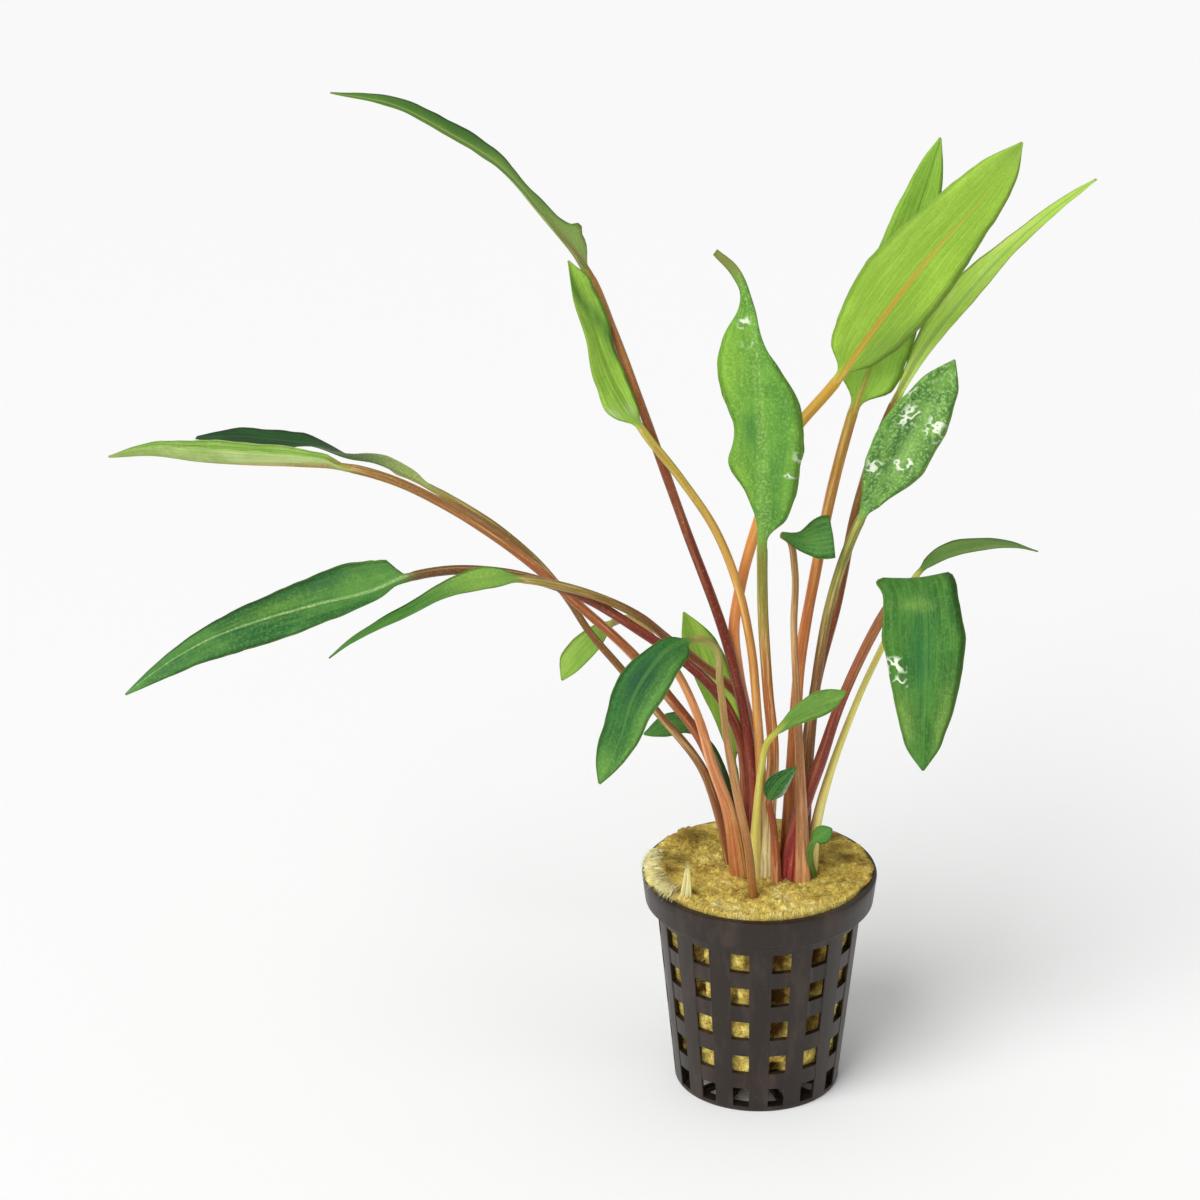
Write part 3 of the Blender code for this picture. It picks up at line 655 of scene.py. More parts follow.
example = {"left": (4, 6, 5), "tip": 0.3, "lobes": (("left", 0.5, 1.0, 0.1),)}
print("half width in the middle of a lobe", round(half_width(example, "left", 0.5, 1.0), 1), "mm")

# %% [markdown]
# ## The section of a blade
# A blade is a thin sheet with a midrib that stands out most below, and its halves bulge a little between
# the veins. The margins are never straight: they ripple, and some have lobes and nicks. Bump in the
# material would not show in the outline, so all of this is in the mesh. The ring's points lie closest at
# the midrib, where the shape turns most.

# %% Blade section
SHEET, THINNER_AT_MARGIN, LEAST_HALF_WIDTH = 0.15, 0.6, 0.15
RIB_SHARE, RIB_AT_TIP = 0.62, 0.16
RIB_ABOVE, RIB_BELOW = 0.45, 0.85
RIPPLE, UNEVEN_WIDTH = 0.35, 0.03
VEINS, VEIN_HEIGHT = 4, 0.035
CLOSER_AT_RIB = 1.3
WAVE_CURVE = 1.4
EVEN = [1 - i / (HALF / 2) for i in range(HALF + 1)]
LEVELS = [math.copysign(abs(level) ** CLOSER_AT_RIB, level) for level in EVEN]
COLUMNS = [(level, 1.0) for level in LEVELS] + [(level, -1.0) for level in LEVELS[-2:0:-1]]


def blade_section(leaf, share, length, neck, seed):
    """(across, up) of each point round a blade, from the right margin over the upper face."""
    widths = {1: half_width(leaf, "right", share, neck), -1: half_width(leaf, "left", share, neck)}
    fold = math.radians(between(leaf["fold"], share))
    rib = neck * (1 - share) * RIB_SHARE + RIB_AT_TIP
    wave_height, waves = leaf["wave"]
    swing = wave_height * math.sin(math.pi * share)
    lifts = {1: swing * math.cos(math.tau * waves * share), -1: swing * math.sin(math.tau * waves * share)}
    distance = share * length
    section = []
    for level, face in COLUMNS:
        side = 1 if level > 0 else -1
        width = max(LEAST_HALF_WIDTH, widths[side])
        width *= 1 + UNEVEN_WIDTH * noise.noise(Vector((distance / 3.0, side * 5.0, seed)))
        off = abs(level)
        edge = noise.noise(Vector((distance / 5.0, side * 3.0, seed + 9)))
        bulge = noise.noise(Vector((distance / 4.0, level * width / 2.2, seed + 4)))
        rise = width * off * math.sin(fold) + lifts[side] * off**WAVE_CURVE
        ripple = RIPPLE * edge * off**3 * min(1.0, width / 4)
        rise += ripple + leaf["pucker"] * bulge * math.sin(math.pi * off)
        rise += VEIN_HEIGHT * math.cos(math.tau * VEINS * off) * min(1.0, width / 3) * (1 - off)
        thick = SHEET * (1 - THINNER_AT_MARGIN * off) * min(1.0, 0.35 + width / 3)
        stem = rib * math.exp(-((level * width / (0.75 * rib + 0.12)) ** 2))
        rise += face * thick + stem * (RIB_ABOVE if face > 0 else -RIB_BELOW)
        section.append((level * width * math.cos(fold) - face * thick * math.sin(fold) * side, rise))
    return section


print("points round a blade", len(COLUMNS), "from", round(LEVELS[0], 2), "to", round(LEVELS[-1], 2))


# %% [markdown]
# ## Rings from the wool to the tip
# A ring is a centre, two directions and a section. The petiole's rings are worked out from the blade down,
# so that they carry its side along and don't twist. At the neck the round section opens into the flat one
# over a short way, as a real petiole does. Lofting between a few hand-drawn sections would lose the ripples
# of the margin.

# %% Rings of a leaf
OPENS_OVER = 0.1
SHEATH_LENGTH = 24
THICKER = 1.1
TAPER = 1.6


def petiole_rings(leaf, route, side, seed):
    """Rings up the petiole, which is wider where it sheathes the crown."""
    foot_radius, neck_radius = leaf["radius"]
    part, length = shares(route)
    ways = directions(route)
    rings = []
    for i in reversed(range(len(route) - 1)):
        side = square_to(ways[i], side)
        distance = part[i] * length
        radius = foot_radius + (neck_radius - foot_radius) * min(1.0, TAPER * part[i])
        radius *= THICKER + leaf["sheath"] * math.exp(-((distance / SHEATH_LENGTH) ** 2))
        section = petiole_section(radius, distance, seed)
        rings.insert(0, (route[i], side, side.cross(ways[i]), section, part[i] - 1, distance))
    return rings


def blade_rings(leaf, route, offset, seed):
    """Rings of the blade, which opens from the round petiole and closes at the tip."""
    neck = leaf["radius"][1]
    across = [Vector(way) for way in leaf["across"]]
    part, length = shares(route)
    rings = []
    for point, way, share in zip(route, directions(route), part):
        side = square_to(way, between(across, share))
        t = min(1.0, share / OPENS_OVER)
        opening = t * t * (3 - 2 * t)
        pairs = zip(petiole_section(neck, offset, seed), blade_section(leaf, share, length, neck, seed))
        section = [(a[0] + (b[0] - a[0]) * opening, a[1] + (b[1] - a[1]) * opening) for a, b in pairs]
        rings.append((point, side, side.cross(way), section, share, offset + share * length))
    return rings


# %% [markdown]
# ## The mesh of a leaf
# While the mesh is made, every point writes down where it is on the leaf. The marks could be painted by
# hand as a picture, but each is only a small oval, so they are worked out from the same place: a painted
# glint has a sharp edge, and painted shade and painted highlights fade away from their middle. The glints
# stand in for reflections on the wet leaf, the shade for shadow in folds and the highlights for light on
# the blade, and in places the shade and highlights are darker and paler patches of the leaf too.

# %% Leaf mesh
PLAIN_LEAF = {"wave": (0.0, 1), "pucker": 0.10, "tip": 0.3, "sheath": 0.38, "lobes": (), "marks": ()}
FACES_APART = 0.3


def mark_at(leaf, along, across):
    """How strongly each mark shows at a place: painted glints, painted shade and painted highlights."""
    strengths = {"painted_glint": 0.0, "shade": 0.0, "glow": 0.0}
    for kind, mark_along, mark_across, reach_along, reach_across, amount in leaf["marks"]:
        far = ((along - mark_along) / reach_along) ** 2 + ((across - mark_across) / reach_across) ** 2
        strength = amount * (far < 1.0) if kind == "painted_glint" else amount * math.exp(-far)
        strengths[kind] = max(strengths[kind], strength)
    return tuple(strengths.values())


def leaf_object(leaf, seed):
    """The skinned leaf with its attributes."""
    route, marks = smooth_route(leaf["stalk"] + leaf["blade"])
    neck = marks[len(leaf["stalk"])]
    offset = shares(route[: neck + 1])[1]
    blade = blade_rings(leaf, route[neck:], offset, seed)
    petiole = petiole_rings(leaf, route[: neck + 1], blade[0][1], seed)
    build = bmesh.new()
    place_layer, mm_layer, mark_layer = (
        build.verts.layers.float_vector.new("leaf_" + name) for name in ("place", "mm", "marks")
    )
    rings = []
    for centre, side, up, section, along, distance in petiole + blade:
        ring = []
        for (x, y), (level, face) in zip(section, COLUMNS):
            vert = build.verts.new((centre + side * x + up * y) * MM)
            vert[place_layer] = (along, level, 0.5 + 0.5 * face)
            vert[mm_layer] = (distance, x, y if along < 0 else FACES_APART * face)
            vert[mark_layer] = mark_at(leaf, along, level)
            ring.append(vert)
        rings.append(ring)
    join_rings(build, rings)
    return new_piece(leaf["name"] + "_grown", mesh_of(leaf["name"], build))


# %% [markdown]
# ## The shapes of the 21 leaves
# Each entry gives the midline from the wool to the tip, in millimetres, the half widths at even steps along
# the blade, the way the right half points, and how far both halves are folded up, in degrees. Lobes are
# (margin, place, size, reach), and marks are (kind, along, across, two reaches, strength). They could be
# drawn by hand in the viewport, but a table is easy to compare and to change.

# %% Leaf table
# The kinds of marks are painted white glints, painted shade, and glow, which is painted highlight; shade and
# glow are in places darker and paler patches of the leaf too.
LEAVES = (
    {
        "name": "tall_arching_leaf", "slot": "dark_leaf", "radius": (1.25, 1.0),
        "stalk": ((-1.0, -0.2, STALK_FOOT), (-1.2, -0.3, 72), (-2.2, 0, 83), (-8, 3, 110.5),
            (-18, 7, 138.5), (-28.5, 12, 167.5), (-34.5, 16, 183)),
        "blade": ((-39.5, 19, 194.5), (-50.3, 21, 208.7), (-59.8, 22, 219.6), (-72.3, 22, 228.1),
            (-82.7, 22, 233.8), (-97.5, 21, 237.5)),
        "left": (5.2, 4.6, 4.0, 4.8, 5.4, 5.2, 4.6, 3.6, 2.2),
        "right": (7.8, 5.8, 4.2, 4.6, 5.0, 5.0, 4.4, 3.4, 2.0),
        "across": ((0.1, 1, 0), (0, 1, 0.1)), "fold": (14, 14),
        "lobes": (("right", 0.127, 2.8, 0.015), ("right", 0.185, -1.3, 0.045), ("left", 0.2, 0.5, 0.04),
            ("right", 0.06, 1.4, 0.028), ("right", 0.36, -1.3, 0.08)),
        "marks": (("glow", 0.12, 0.4, 0.16, 0.9, 0.95), ("glow", 0.36, 0.1, 0.14, 0.5, 0.7),
            ("shade", 0.6, 0.7, 0.26, 0.5, 0.9)),
    },
    {
        "name": "folded_upright_leaf", "slot": "light_leaf", "radius": (1.1, 0.9),
        "stalk": ((1.3, -1.7, STALK_FOOT), (0.4, -2.1, 70.5), (-1, -1.2, 93.3), (-3, 0, 113),
            (-6, 1, 126.5), (-11, 3, 139), (-19, 5, 151)),
        "blade": ((-28, 7, 162.5), (-35.5, 11, 174), (-39, 12, 184.5), (-42.5, 12, 194), (-44.5, 12, 201)),
        "left": (4.8, 5.8, 5.0, 4.2, 2.8),
        "right": (2.8, 3.8, 3.5, 4.4, 3.4),
        "across": ((0.8, 0.6, 0.3), (0.7, 0.7, 0.2)), "fold": (22, 22),
        "lobes": (("left", 0.16, 2.2, 0.09), ("left", 0.62, -0.6, 0.1), ("right", 0.88, 0.9, 0.07)),
        "marks": (("glow", 0.1, 0.15, 0.05, 0.22, 1.0), ("glow", 0.14, -0.75, 0.04, 0.2, 0.5),
            ("shade", 0.88, -0.5, 0.08, 0.3, 0.8), ("shade", 0.8, -0.2, 0.08, 0.28, 0.8),
            ("shade", 0.72, 0.1, 0.08, 0.28, 0.8), ("shade", 0.64, 0.4, 0.08, 0.28, 0.8),
            ("shade", 0.56, 0.7, 0.08, 0.28, 0.8), ("shade", 0.48, 0.95, 0.08, 0.25, 0.7)),
    },
    {
        "name": "wavy_centre_leaf", "slot": "mid_leaf", "radius": (1.2, 1.1),
        "stalk": ((1.6, -4.4, STALK_FOOT), (1.7, -4.5, 69), (2.6, -4, 87), (1.2, -4, 102), (-0.3, -6, 123)),
        "blade": ((-0.8, -9, 140.5), (-1, -12, 153), (-1.5, -14, 166), (-2, -15, 178), (-3, -15, 188),
            (-4.5, -13, 200), (-8, -10, 207.5), (-12, -7, 210)),
        "left": (1.5, 3.8, 6.6, 6.8, 7.8, 8.4, 7.6, 3.8, 2.0),
        "right": (5.4, 7.8, 8.6, 9.4, 8.8, 5.4, 1.8, 0.9, 0.9),
        "across": ((1, 0.1, 0), (1, 0, 0), (0.6, 0, 0.6)), "fold": (10, 10), "wave": (0.8, 3),
        "pucker": 0.3, "tip": 0.8, "sheath": 0.75,
        "lobes": (("left", 0.84, -1.5, 0.06), ("left", 0.31, 1.0, 0.06), ("left", 0.44, -1.1, 0.06),
            ("left", 0.6, 0.6, 0.06), ("right", 0.36, 0.5, 0.04)),
        "marks": (("painted_glint", 0.32, 0.96, 0.016, 0.12, 1.0), ("painted_glint", 0.26, 0.8, 0.014, 0.14, 1.0),
            ("painted_glint", 0.755, -0.35, 0.022, 0.14, 0.9), ("painted_glint", 0.69, -0.15, 0.014, 0.12, 0.35),
            ("shade", 0.42, -0.4, 0.09, 0.3, 0.8), ("shade", 0.3, 0.5, 0.24, 0.3, 0.45),
            ("glow", 0.62, -0.75, 0.15, 0.45, 0.9), ("glow", 0.3, -0.75, 0.14, 0.35, 0.7),
            ("glow", 0.3, 0.85, 0.2, 0.2, 0.5)),
    },
    {
        "name": "broad_upper_leaf", "slot": "light_leaf", "radius": (1.3, 1.15),
        "stalk": ((3, 2.4, STALK_FOOT), (0.8, 3.2, 70.5), (-2, 4, 86), (-5.5, 5.5, 103), (-6.5, 6, 113),
            (-5, 7, 124), (-1.5, 8, 138), (5.3, 11, 157.8)),
        "blade": ((16.5, 13, 172), (22.5, 13, 181.5), (30, 12, 193), (38.5, 10, 205.5), (47, 7, 217),
            (55.5, 3, 232)),
        "left": (7.0, 9.6, 11.2, 11.8, 11.2, 10.2, 9.2, 7.6, 5.0),
        "right": (5.2, 8.0, 9.0, 9.0, 8.4, 7.4, 6.1, 5.0, 3.4),
        "across": ((0.8, 0.2, -0.6), (0.8, 0.1, -0.6)), "fold": (6, 6), "wave": (0.4, 2),
        "marks": (("shade", 0.15, 0.6, 0.14, 0.5, 0.75), ("shade", 0.5, -0.95, 0.25, 0.25, 0.5),
            ("shade", 0.98, 0.0, 0.09, 0.9, 0.8), ("glow", 0.35, -0.35, 0.2, 0.4, 0.35)),
    },
    {
        "name": "upper_rear_leaf", "slot": "light_leaf", "radius": (1.35, 1.15),
        "stalk": ((6.6, 4.6, STALK_FOOT), (8, 6, 90), (8.7, 7, 102), (12.5, 9, 128), (15.7, 12, 145),
            (19, 15, 158)),
        "blade": ((20.6, 16, 163.6), (23.3, 18.3, 170.4), (26, 20.5, 179), (31, 23, 196.5), (34, 24, 207.5),
            (36.5, 24, 216.5), (39, 24, 226)),
        "left": (6.6, 7.8, 8.0, 7.8, 7.4, 6.6, 5.8, 4.6, 3.2),
        "right": (6.6, 7.8, 8.0, 7.6, 7.0, 6.2, 5.2, 4.2, 2.6),
        "across": ((0.9, 0.1, -0.3), (0.9, 0.2, -0.3)), "fold": (10, 10),
    },
    {
        "name": "slim_right_leaf", "slot": "pale_leaf", "radius": (1.25, 1.0),
        "stalk": ((9.4, 5.6, STALK_FOOT), (10.5, 7, 76.5), (12.6, 8, 97), (17.5, 10, 118.5),
            (21.5, 13, 140), (25.5, 15, 154)),
        "blade": ((30, 17, 165), (36.5, 20, 176.5), (44.5, 24, 186), (56.3, 30, 197.5), (66.6, 34, 205.6),
            (76, 38, 211.3)),
        "left": (1.6, 3.0, 4.4, 4.8, 4.2, 3.0, 2.2, 1.7, 1.2),
        "right": (1.8, 2.4, 2.8, 3.4, 3.4, 2.4, 2.3, 2.0, 1.3),
        "across": ((0.5, -0.7, -0.4), (0.4, -0.8, -0.3)), "fold": (18, 18),
    },
    {
        "name": "mottled_right_leaf", "slot": "mid_leaf", "radius": (1.3, 1.05),
        "stalk": ((10, 1.4, STALK_FOOT), (10.7, 1, 79.5), (12.2, 0, 100.5), (15.5, -3, 125.5),
            (19, -5, 139)),
        "blade": ((21.5, -7, 146.5), (27, -10, 159), (31.9, -13, 170.3), (36.2, -15, 179.5),
            (40.6, -17, 188.5)),
        "left": (2.8, 5.4, 7.2, 7.8, 7.4, 6.2, 4.4),
        "right": (3.0, 5.4, 7.0, 7.4, 7.0, 5.8, 4.2),
        "across": ((0.8, 0.2, -0.5), (0.8, 0.1, -0.5)), "fold": (12, 12), "wave": (0.5, 3), "pucker": 0.35,
        "marks": (("painted_glint", 0.64, -0.35, 0.07, 0.35, 1.0), ("painted_glint", 0.62, 0.65, 0.07, 0.25, 1.0),
            ("painted_glint", 0.3, -0.6, 0.05, 0.25, 1.0), ("painted_glint", 0.38, 0.3, 0.05, 0.3, 1.0),
            ("painted_glint", 0.78, -0.9, 0.06, 0.12, 0.8), ("glow", 0.42, 0.25, 0.2, 0.22, 1.0),
            ("glow", 0.4, 0.9, 0.3, 0.15, 0.7), ("glow", 0.7, 0.15, 0.08, 0.2, 0.8),
            ("shade", 0.5, -0.1, 0.25, 0.12, 0.5)),
    },
    {
        "name": "young_folded_leaf", "slot": "mid_leaf", "radius": (1.2, 0.75),
        "stalk": ((10, -6.5, STALK_FOOT), (9.2, -6.4, 75.5), (7.7, -5.0, 102.5), (6.9, -3.6, 118),
            (7.0, -1.0, 131), (5.9, 0.4, 137.5)),
        "blade": ((4.0, -2.2, 140.2), (8, -5, 140), (11.5, -7, 141.3), (15.2, -8, 142.4)),
        "left": (1.2, 2.0, 3.0, 4.2, 5.0),
        "right": (1.2, 2.0, 3.2, 4.4, 5.0),
        "across": ((0.1, -0.4, -0.9), (0, -0.4, -0.9)), "fold": (8, 8), "tip": 5.0, "sheath": 0.55,
    },
    {
        "name": "drooping_right_leaf", "slot": "dark_leaf", "radius": (1.65, 1.05),
        "stalk": ((6.4, -4.6, STALK_FOOT), (8, -4, 65), (10.4, -2.8, 73.5), (13.6, -2, 83), (17.6, 0, 95.5),
            (23, 2, 108.5), (29, 0, 122)),
        "blade": ((32.5, -4, 129), (34.5, -8, 131.5), (35.5, -13, 129), (36, -18, 119), (36, -21, 105),
            (36, -22, 90.5)),
        "left": (7.6, 8.9, 9.2, 9.1, 8.7, 7.8, 6.6, 5.2, 3.4),
        "right": (9.8, 10.4, 10.4, 10.1, 9.0, 7.9, 6.7, 5.5, 3.7),
        "across": ((-1, -0.2, 0), (-1, 0, 0)), "fold": (8, 8), "pucker": 0.18, "sheath": 0.3,
        "lobes": (("right", 0.22, -0.9, 0.08), ("left", 0.24, -1.0, 0.1)),
        "marks": (("painted_glint", 0.5, 0.86, 0.045, 0.16, 1.0), ("painted_glint", 0.58, 0.82, 0.03, 0.16, 1.0),
            ("painted_glint", 0.65, 0.85, 0.025, 0.1, 1.0), ("glow", 0.76, 0.75, 0.12, 0.3, 0.7),
            ("glow", 0.76, -0.75, 0.16, 0.3, 0.6), ("glow", 0.24, 0.2, 0.03, 0.35, 0.6),
            ("shade", 0.45, 0.1, 0.22, 0.3, 0.6)),
    },
    {
        "name": "slim_arching_right_leaf", "slot": "mid_leaf", "radius": (1.05, 0.7),
        "stalk": ((12, -1.4, STALK_FOOT), (12.8, -1.1, 65), (15.9, 1, 78), (19.7, 4, 88.5), (23.2, 6.5, 97),
            (28.5, 9, 108.5), (33, 10.5, 118.5)),
        "blade": ((36, 11, 125), (42, 14, 128.5), (50.5, 18, 129), (57.5, 21, 127.7), (64.5, 23, 125.2)),
        "left": (2.4, 3.0, 3.0, 2.6, 1.6),
        "right": (2.4, 3.4, 3.6, 3.2, 1.8),
        "across": ((0.2, -0.9, -0.3), (0, -1, -0.1)), "fold": (4, 4),
        "lobes": (("right", 0.6, -1.3, 0.35), ("left", 0.6, -0.4, 0.3)),
        "marks": (("glow", 0.6, 0.6, 0.5, 0.4, 0.7), ("glow", 0.75, -0.3, 0.25, 0.12, 0.7)),
    },
    {
        "name": "small_centre_leaf", "slot": "mid_leaf", "radius": (0.95, 0.7),
        "stalk": ((-1.2, -3.8, STALK_FOOT), (-1.2, -7, 70), (-0.3, -9, 84), (1, -10.5, 92)),
        "blade": ((2.6, -12, 95), (8, -14, 101.5), (14, -15, 105), (18.5, -16, 107.5)),
        "left": (0.8, 1.4, 2.0, 2.6, 2.0),
        "right": (1.6, 2.6, 3.2, 3.4, 2.8),
        "across": ((0.5, -0.5, -0.6), (0.4, -0.5, -0.8)), "fold": (12, 12), "sheath": 0.6,
    },
    {
        "name": "dark_young_leaf", "slot": "dark_leaf", "radius": (0.85, 0.6),
        "stalk": ((3.9, -6.5, STALK_FOOT), (2.6, -8.5, 71)),
        "blade": ((1.6, -10.5, 77.5), (3.5, -12, 82.5), (7.5, -13, 87)),
        "left": (1.8, 2.5, 2.5, 2.0, 1.2),
        "right": (2.0, 2.8, 2.7, 2.2, 1.3),
        "across": ((0.8, -0.2, -0.5), (0.6, -0.2, -0.7)), "fold": (15, 15), "sheath": 0.6,
        "marks": (("glow", 0.5, 0.95, 0.5, 0.12, 1.0),),
    },
    {
        "name": "spoon_leaf", "slot": "mid_leaf", "radius": (0.75, 0.55),
        "stalk": ((12.5, -4.6, STALK_FOOT), (12.3, -5.2, 55), (11.5, -7.8, 60), (11.4, -9.4, 64.4)),
        "blade": ((12.2, -10, 66.6), (14, -10.5, 68.5), (16.2, -10.5, 70)),
        "left": (1.6, 2.0, 2.2, 2.0, 1.4),
        "right": (1.6, 2.0, 2.2, 2.0, 1.4),
        "across": ((0.5, -0.3, -0.7), (0.5, -0.3, -0.7)), "fold": (8, 8),
    },
    {
        "name": "drooping_front_leaf", "slot": "dark_leaf", "radius": (1.25, 0.8),
        "stalk": ((-1.5, -15.2, STALK_FOOT), (-3.3, -15, 68), (-5.7, -15, 80), (-8.4, -16, 95.5),
            (-10.2, -18, 111), (-11.3, -20, 120), (-14, -21.5, 123)),
        "blade": ((-17, -23, 123.5), (-22, -27, 123), (-26, -30, 119.5), (-30, -33, 113.5),
            (-32.5, -35, 105.5), (-37.5, -36, 94)),
        "left": (4.6, 6.4, 7.4, 7.8, 7.2, 6.2, 5.0, 3.6, 2.2),
        "right": (2.4, 3.4, 4.6, 5.4, 5.4, 5.0, 4.8, 4.4, 3.0),
        "across": ((-0.4, 0.8, 0.4), (-0.8, 0.5, 0.3)), "fold": (10, 10), "sheath": -0.25,
        "marks": (("shade", 0.35, 0.1, 0.2, 0.5, 0.8), ("glow", 0.6, -0.75, 0.5, 0.35, 0.8),
            ("glow", 0.92, 0.2, 0.14, 0.8, 0.9)),
    },
    {
        "name": "pale_rear_leaf", "slot": "light_leaf", "radius": (0.95, 0.75),
        "stalk": ((-3, 8.6, STALK_FOOT), (-4.2, 9.3, 60), (-5, 11, 67)),
        "blade": ((-6, 14, 74.5), (-8.7, 18, 84), (-12, 21, 93), (-15, 22, 102.5), (-17.8, 22, 110.2)),
        "left": (1.2, 1.8, 2.6, 3.0, 3.0),
        "right": (3.8, 5.4, 6.0, 5.8, 4.2),
        "across": ((0.9, 0.1, 0.3), (0.9, 0.1, 0.4)), "fold": (15, 15),
    },
    {
        "name": "small_left_leaf", "slot": "dark_leaf", "radius": (0.9, 0.7),
        "stalk": ((-4.6, 5.6, STALK_FOOT), (-5.9, 8, 64), (-8.7, 12, 74.5), (-11.5, 14, 79.5)),
        "blade": ((-14, 15, 81.7), (-17, 16, 84), (-21.5, 17, 84), (-27, 18, 80.5)),
        "left": (2.2, 3.2, 3.8, 3.6, 2.4),
        "right": (1.8, 2.4, 2.6, 2.0, 1.2),
        "across": ((-0.1, 0.8, 0.6), (0, 0.8, 0.6)), "fold": (4, 4),
    },
    {
        "name": "pale_left_leaf", "slot": "light_leaf", "radius": (1.4, 0.85),
        "stalk": ((-4.3, -3.1, STALK_FOOT), (-8.0, -5, 73.5), (-11.5, -6, 84), (-14.4, -6, 95),
            (-18.8, -4, 105), (-23.6, 0, 111), (-28, 6, 114), (-31.6, 12, 113)),
        "blade": ((-34.6, 15, 110.5), (-38, 17, 105.5), (-42, 18, 100), (-46.3, 18, 94.5)),
        "left": (1.6, 2.2, 2.2, 2.0, 1.4),
        "right": (2.4, 3.6, 4.2, 4.4, 3.6),
        "across": ((-0.5, 0.6, 0.6), (-0.6, 0.6, 0.5)), "fold": (10, 10), "sheath": 0.5,
    },
    {
        "name": "long_low_leaf", "slot": "dark_leaf", "radius": (1.25, 1.0),
        "stalk": ((-2, 2.9, STALK_FOOT), (-3.2, 2.6, 74), (-4.6, 2.2, 86), (-10.2, -1.5, 100),
            (-17, -5, 109), (-27, -8, 118), (-44, -13, 131), (-60, -17, 137.5), (-73, -21, 139.5)),
        "blade": ((-79.5, -23, 139), (-87, -25, 136.5), (-100.5, -28, 134.2), (-113, -31, 131.7),
            (-124, -34, 128.6), (-132.5, -37, 124.6), (-142.6, -39, 117.5)),
        "left": (5.6, 6.6, 6.8, 6.8, 6.4, 5.8, 4.8, 3.6, 2.2),
        "right": (8.0, 8.0, 7.2, 6.6, 6.2, 5.6, 4.6, 3.5, 2.2),
        "across": ((-0.1, 0.88, 0.47), (-0.2, 0.88, 0.47)), "fold": (45, 30, 12, -4, -14, -16, -12),
        "lobes": (("right", 0.042, 6.3, 0.025), ("right", 0.12, -1.5, 0.05)),
        "marks": (("glow", 0.16, 0.4, 0.1, 0.3, 0.4), ("glow", 0.45, 0.3, 0.12, 0.3, 0.5),
            ("shade", 0.3, 0.75, 0.2, 0.3, 0.5)),
    },
    {
        "name": "twisted_low_leaf", "slot": "dark_leaf", "radius": (1.2, 0.9),
        "stalk": ((1.6, 5.8, STALK_FOOT), (-0.7, 7, 79), (-4.4, 8, 94), (-14.3, 5, 105), (-22, -1, 114),
            (-28.5, -7, 122.2), (-37.5, -13, 129.5), (-47.5, -18, 134.9)),
        "blade": ((-55, -22, 138), (-61.5, -24, 139), (-67.5, -26, 138.3), (-72.5, -28, 137),
            (-79.5, -31, 134.1), (-86.5, -33.5, 131.4), (-93.5, -35.5, 127.9), (-97.4, -36, 125)),
        "left": (3.0, 3.0, 2.6, 2.4, 1.6),
        "right": (3.0, 3.0, 2.6, 2.4, 1.6),
        "across": ((0, 0.6, 0.8), (-0.1, 0.95, 0.3), (-0.1, 1, 0.1), (-0.1, 1, 0.1)), "fold": (12, 12),
        "marks": (("glow", 0.18, 0.0, 0.2, 2.0, 0.9),),
    },
    {
        "name": "long_upper_left_leaf", "slot": "pale_leaf", "radius": (1.2, 1.0),
        "stalk": ((-3.7, 0.3, STALK_FOOT), (-5.9, 0.5, 64), (-9.9, 1, 77), (-13.5, 2, 86), (-21.6, 3, 97.5),
            (-29.7, 4, 107.5), (-42, 7, 118.5), (-49, 9, 124.5), (-60.5, 12, 133), (-74, 16, 140.5),
            (-85.5, 19, 145)),
        "blade": ((-95, 21, 147), (-106.5, 24, 146.5), (-118.5, 27, 145.5), (-130.5, 30, 145),
            (-142, 33, 145.3), (-152, 35, 144)),
        "left": (3.0, 4.2, 5.0, 5.4, 5.6, 5.4, 4.8, 3.8, 2.4),
        "right": (2.8, 3.8, 4.6, 5.0, 5.2, 5.0, 4.4, 3.3, 2.0),
        "across": ((0, 1, 0.15), (0, 1, 0.15)), "fold": (66, 66),
    },
    {
        "name": "rear_upper_left_leaf", "slot": "pale_leaf", "radius": (1.0, 0.8),
        "stalk": ((-5.9, 2.2, STALK_FOOT), (-9.2, 2.9, 66), (-13.6, 4, 78.5), (-24, 8, 91),
            (-32.7, 10, 101.5), (-40, 12, 110), (-45, 14, 117.5), (-50, 17, 123), (-60.5, 20, 132)),
        "blade": ((-75, 24, 140), (-84, 28, 143.3), (-89.5, 31, 144.5), (-96, 34, 144.4),
            (-104.2, 38, 145.7), (-113.6, 41, 145.7), (-122, 43, 145.8), (-132.4, 46, 144.3)),
        "left": (3.8, 4.6, 3.8, 3.6, 4.6, 5.4, 5.6, 5.0, 3.4),
        "right": (3.8, 4.4, 3.6, 3.4, 4.0, 4.6, 4.6, 4.2, 2.8),
        "across": ((0, 0.7, -0.7), (0, 0.7, -0.7), (0, 0.92, -0.38), (0, 1, 0), (0, 1, 0.05), (0, 1, 0.1)),
        "fold": (8, 8), "tip": 0.8,
        "marks": (("glow", 0.05, 0.0, 0.24, 3.0, 1.0), ("glow", 0.6, -0.97, 0.4, 0.06, 0.6)),
    },
)
print(len(LEAVES), "leaves in the table")

# %% [markdown]
# ## Three palettes
# The plant is not one green. Young and shaded leaves are dark, the high ones are lit through and nearly
# yellow, and the petioles run from cream or tan at the wool through brick red to olive. One list of colours
# for each leaf would repeat most of itself, so there are three palettes: colours on a screen from 0 to 255,
# two for each face, and how strongly each layer shows.

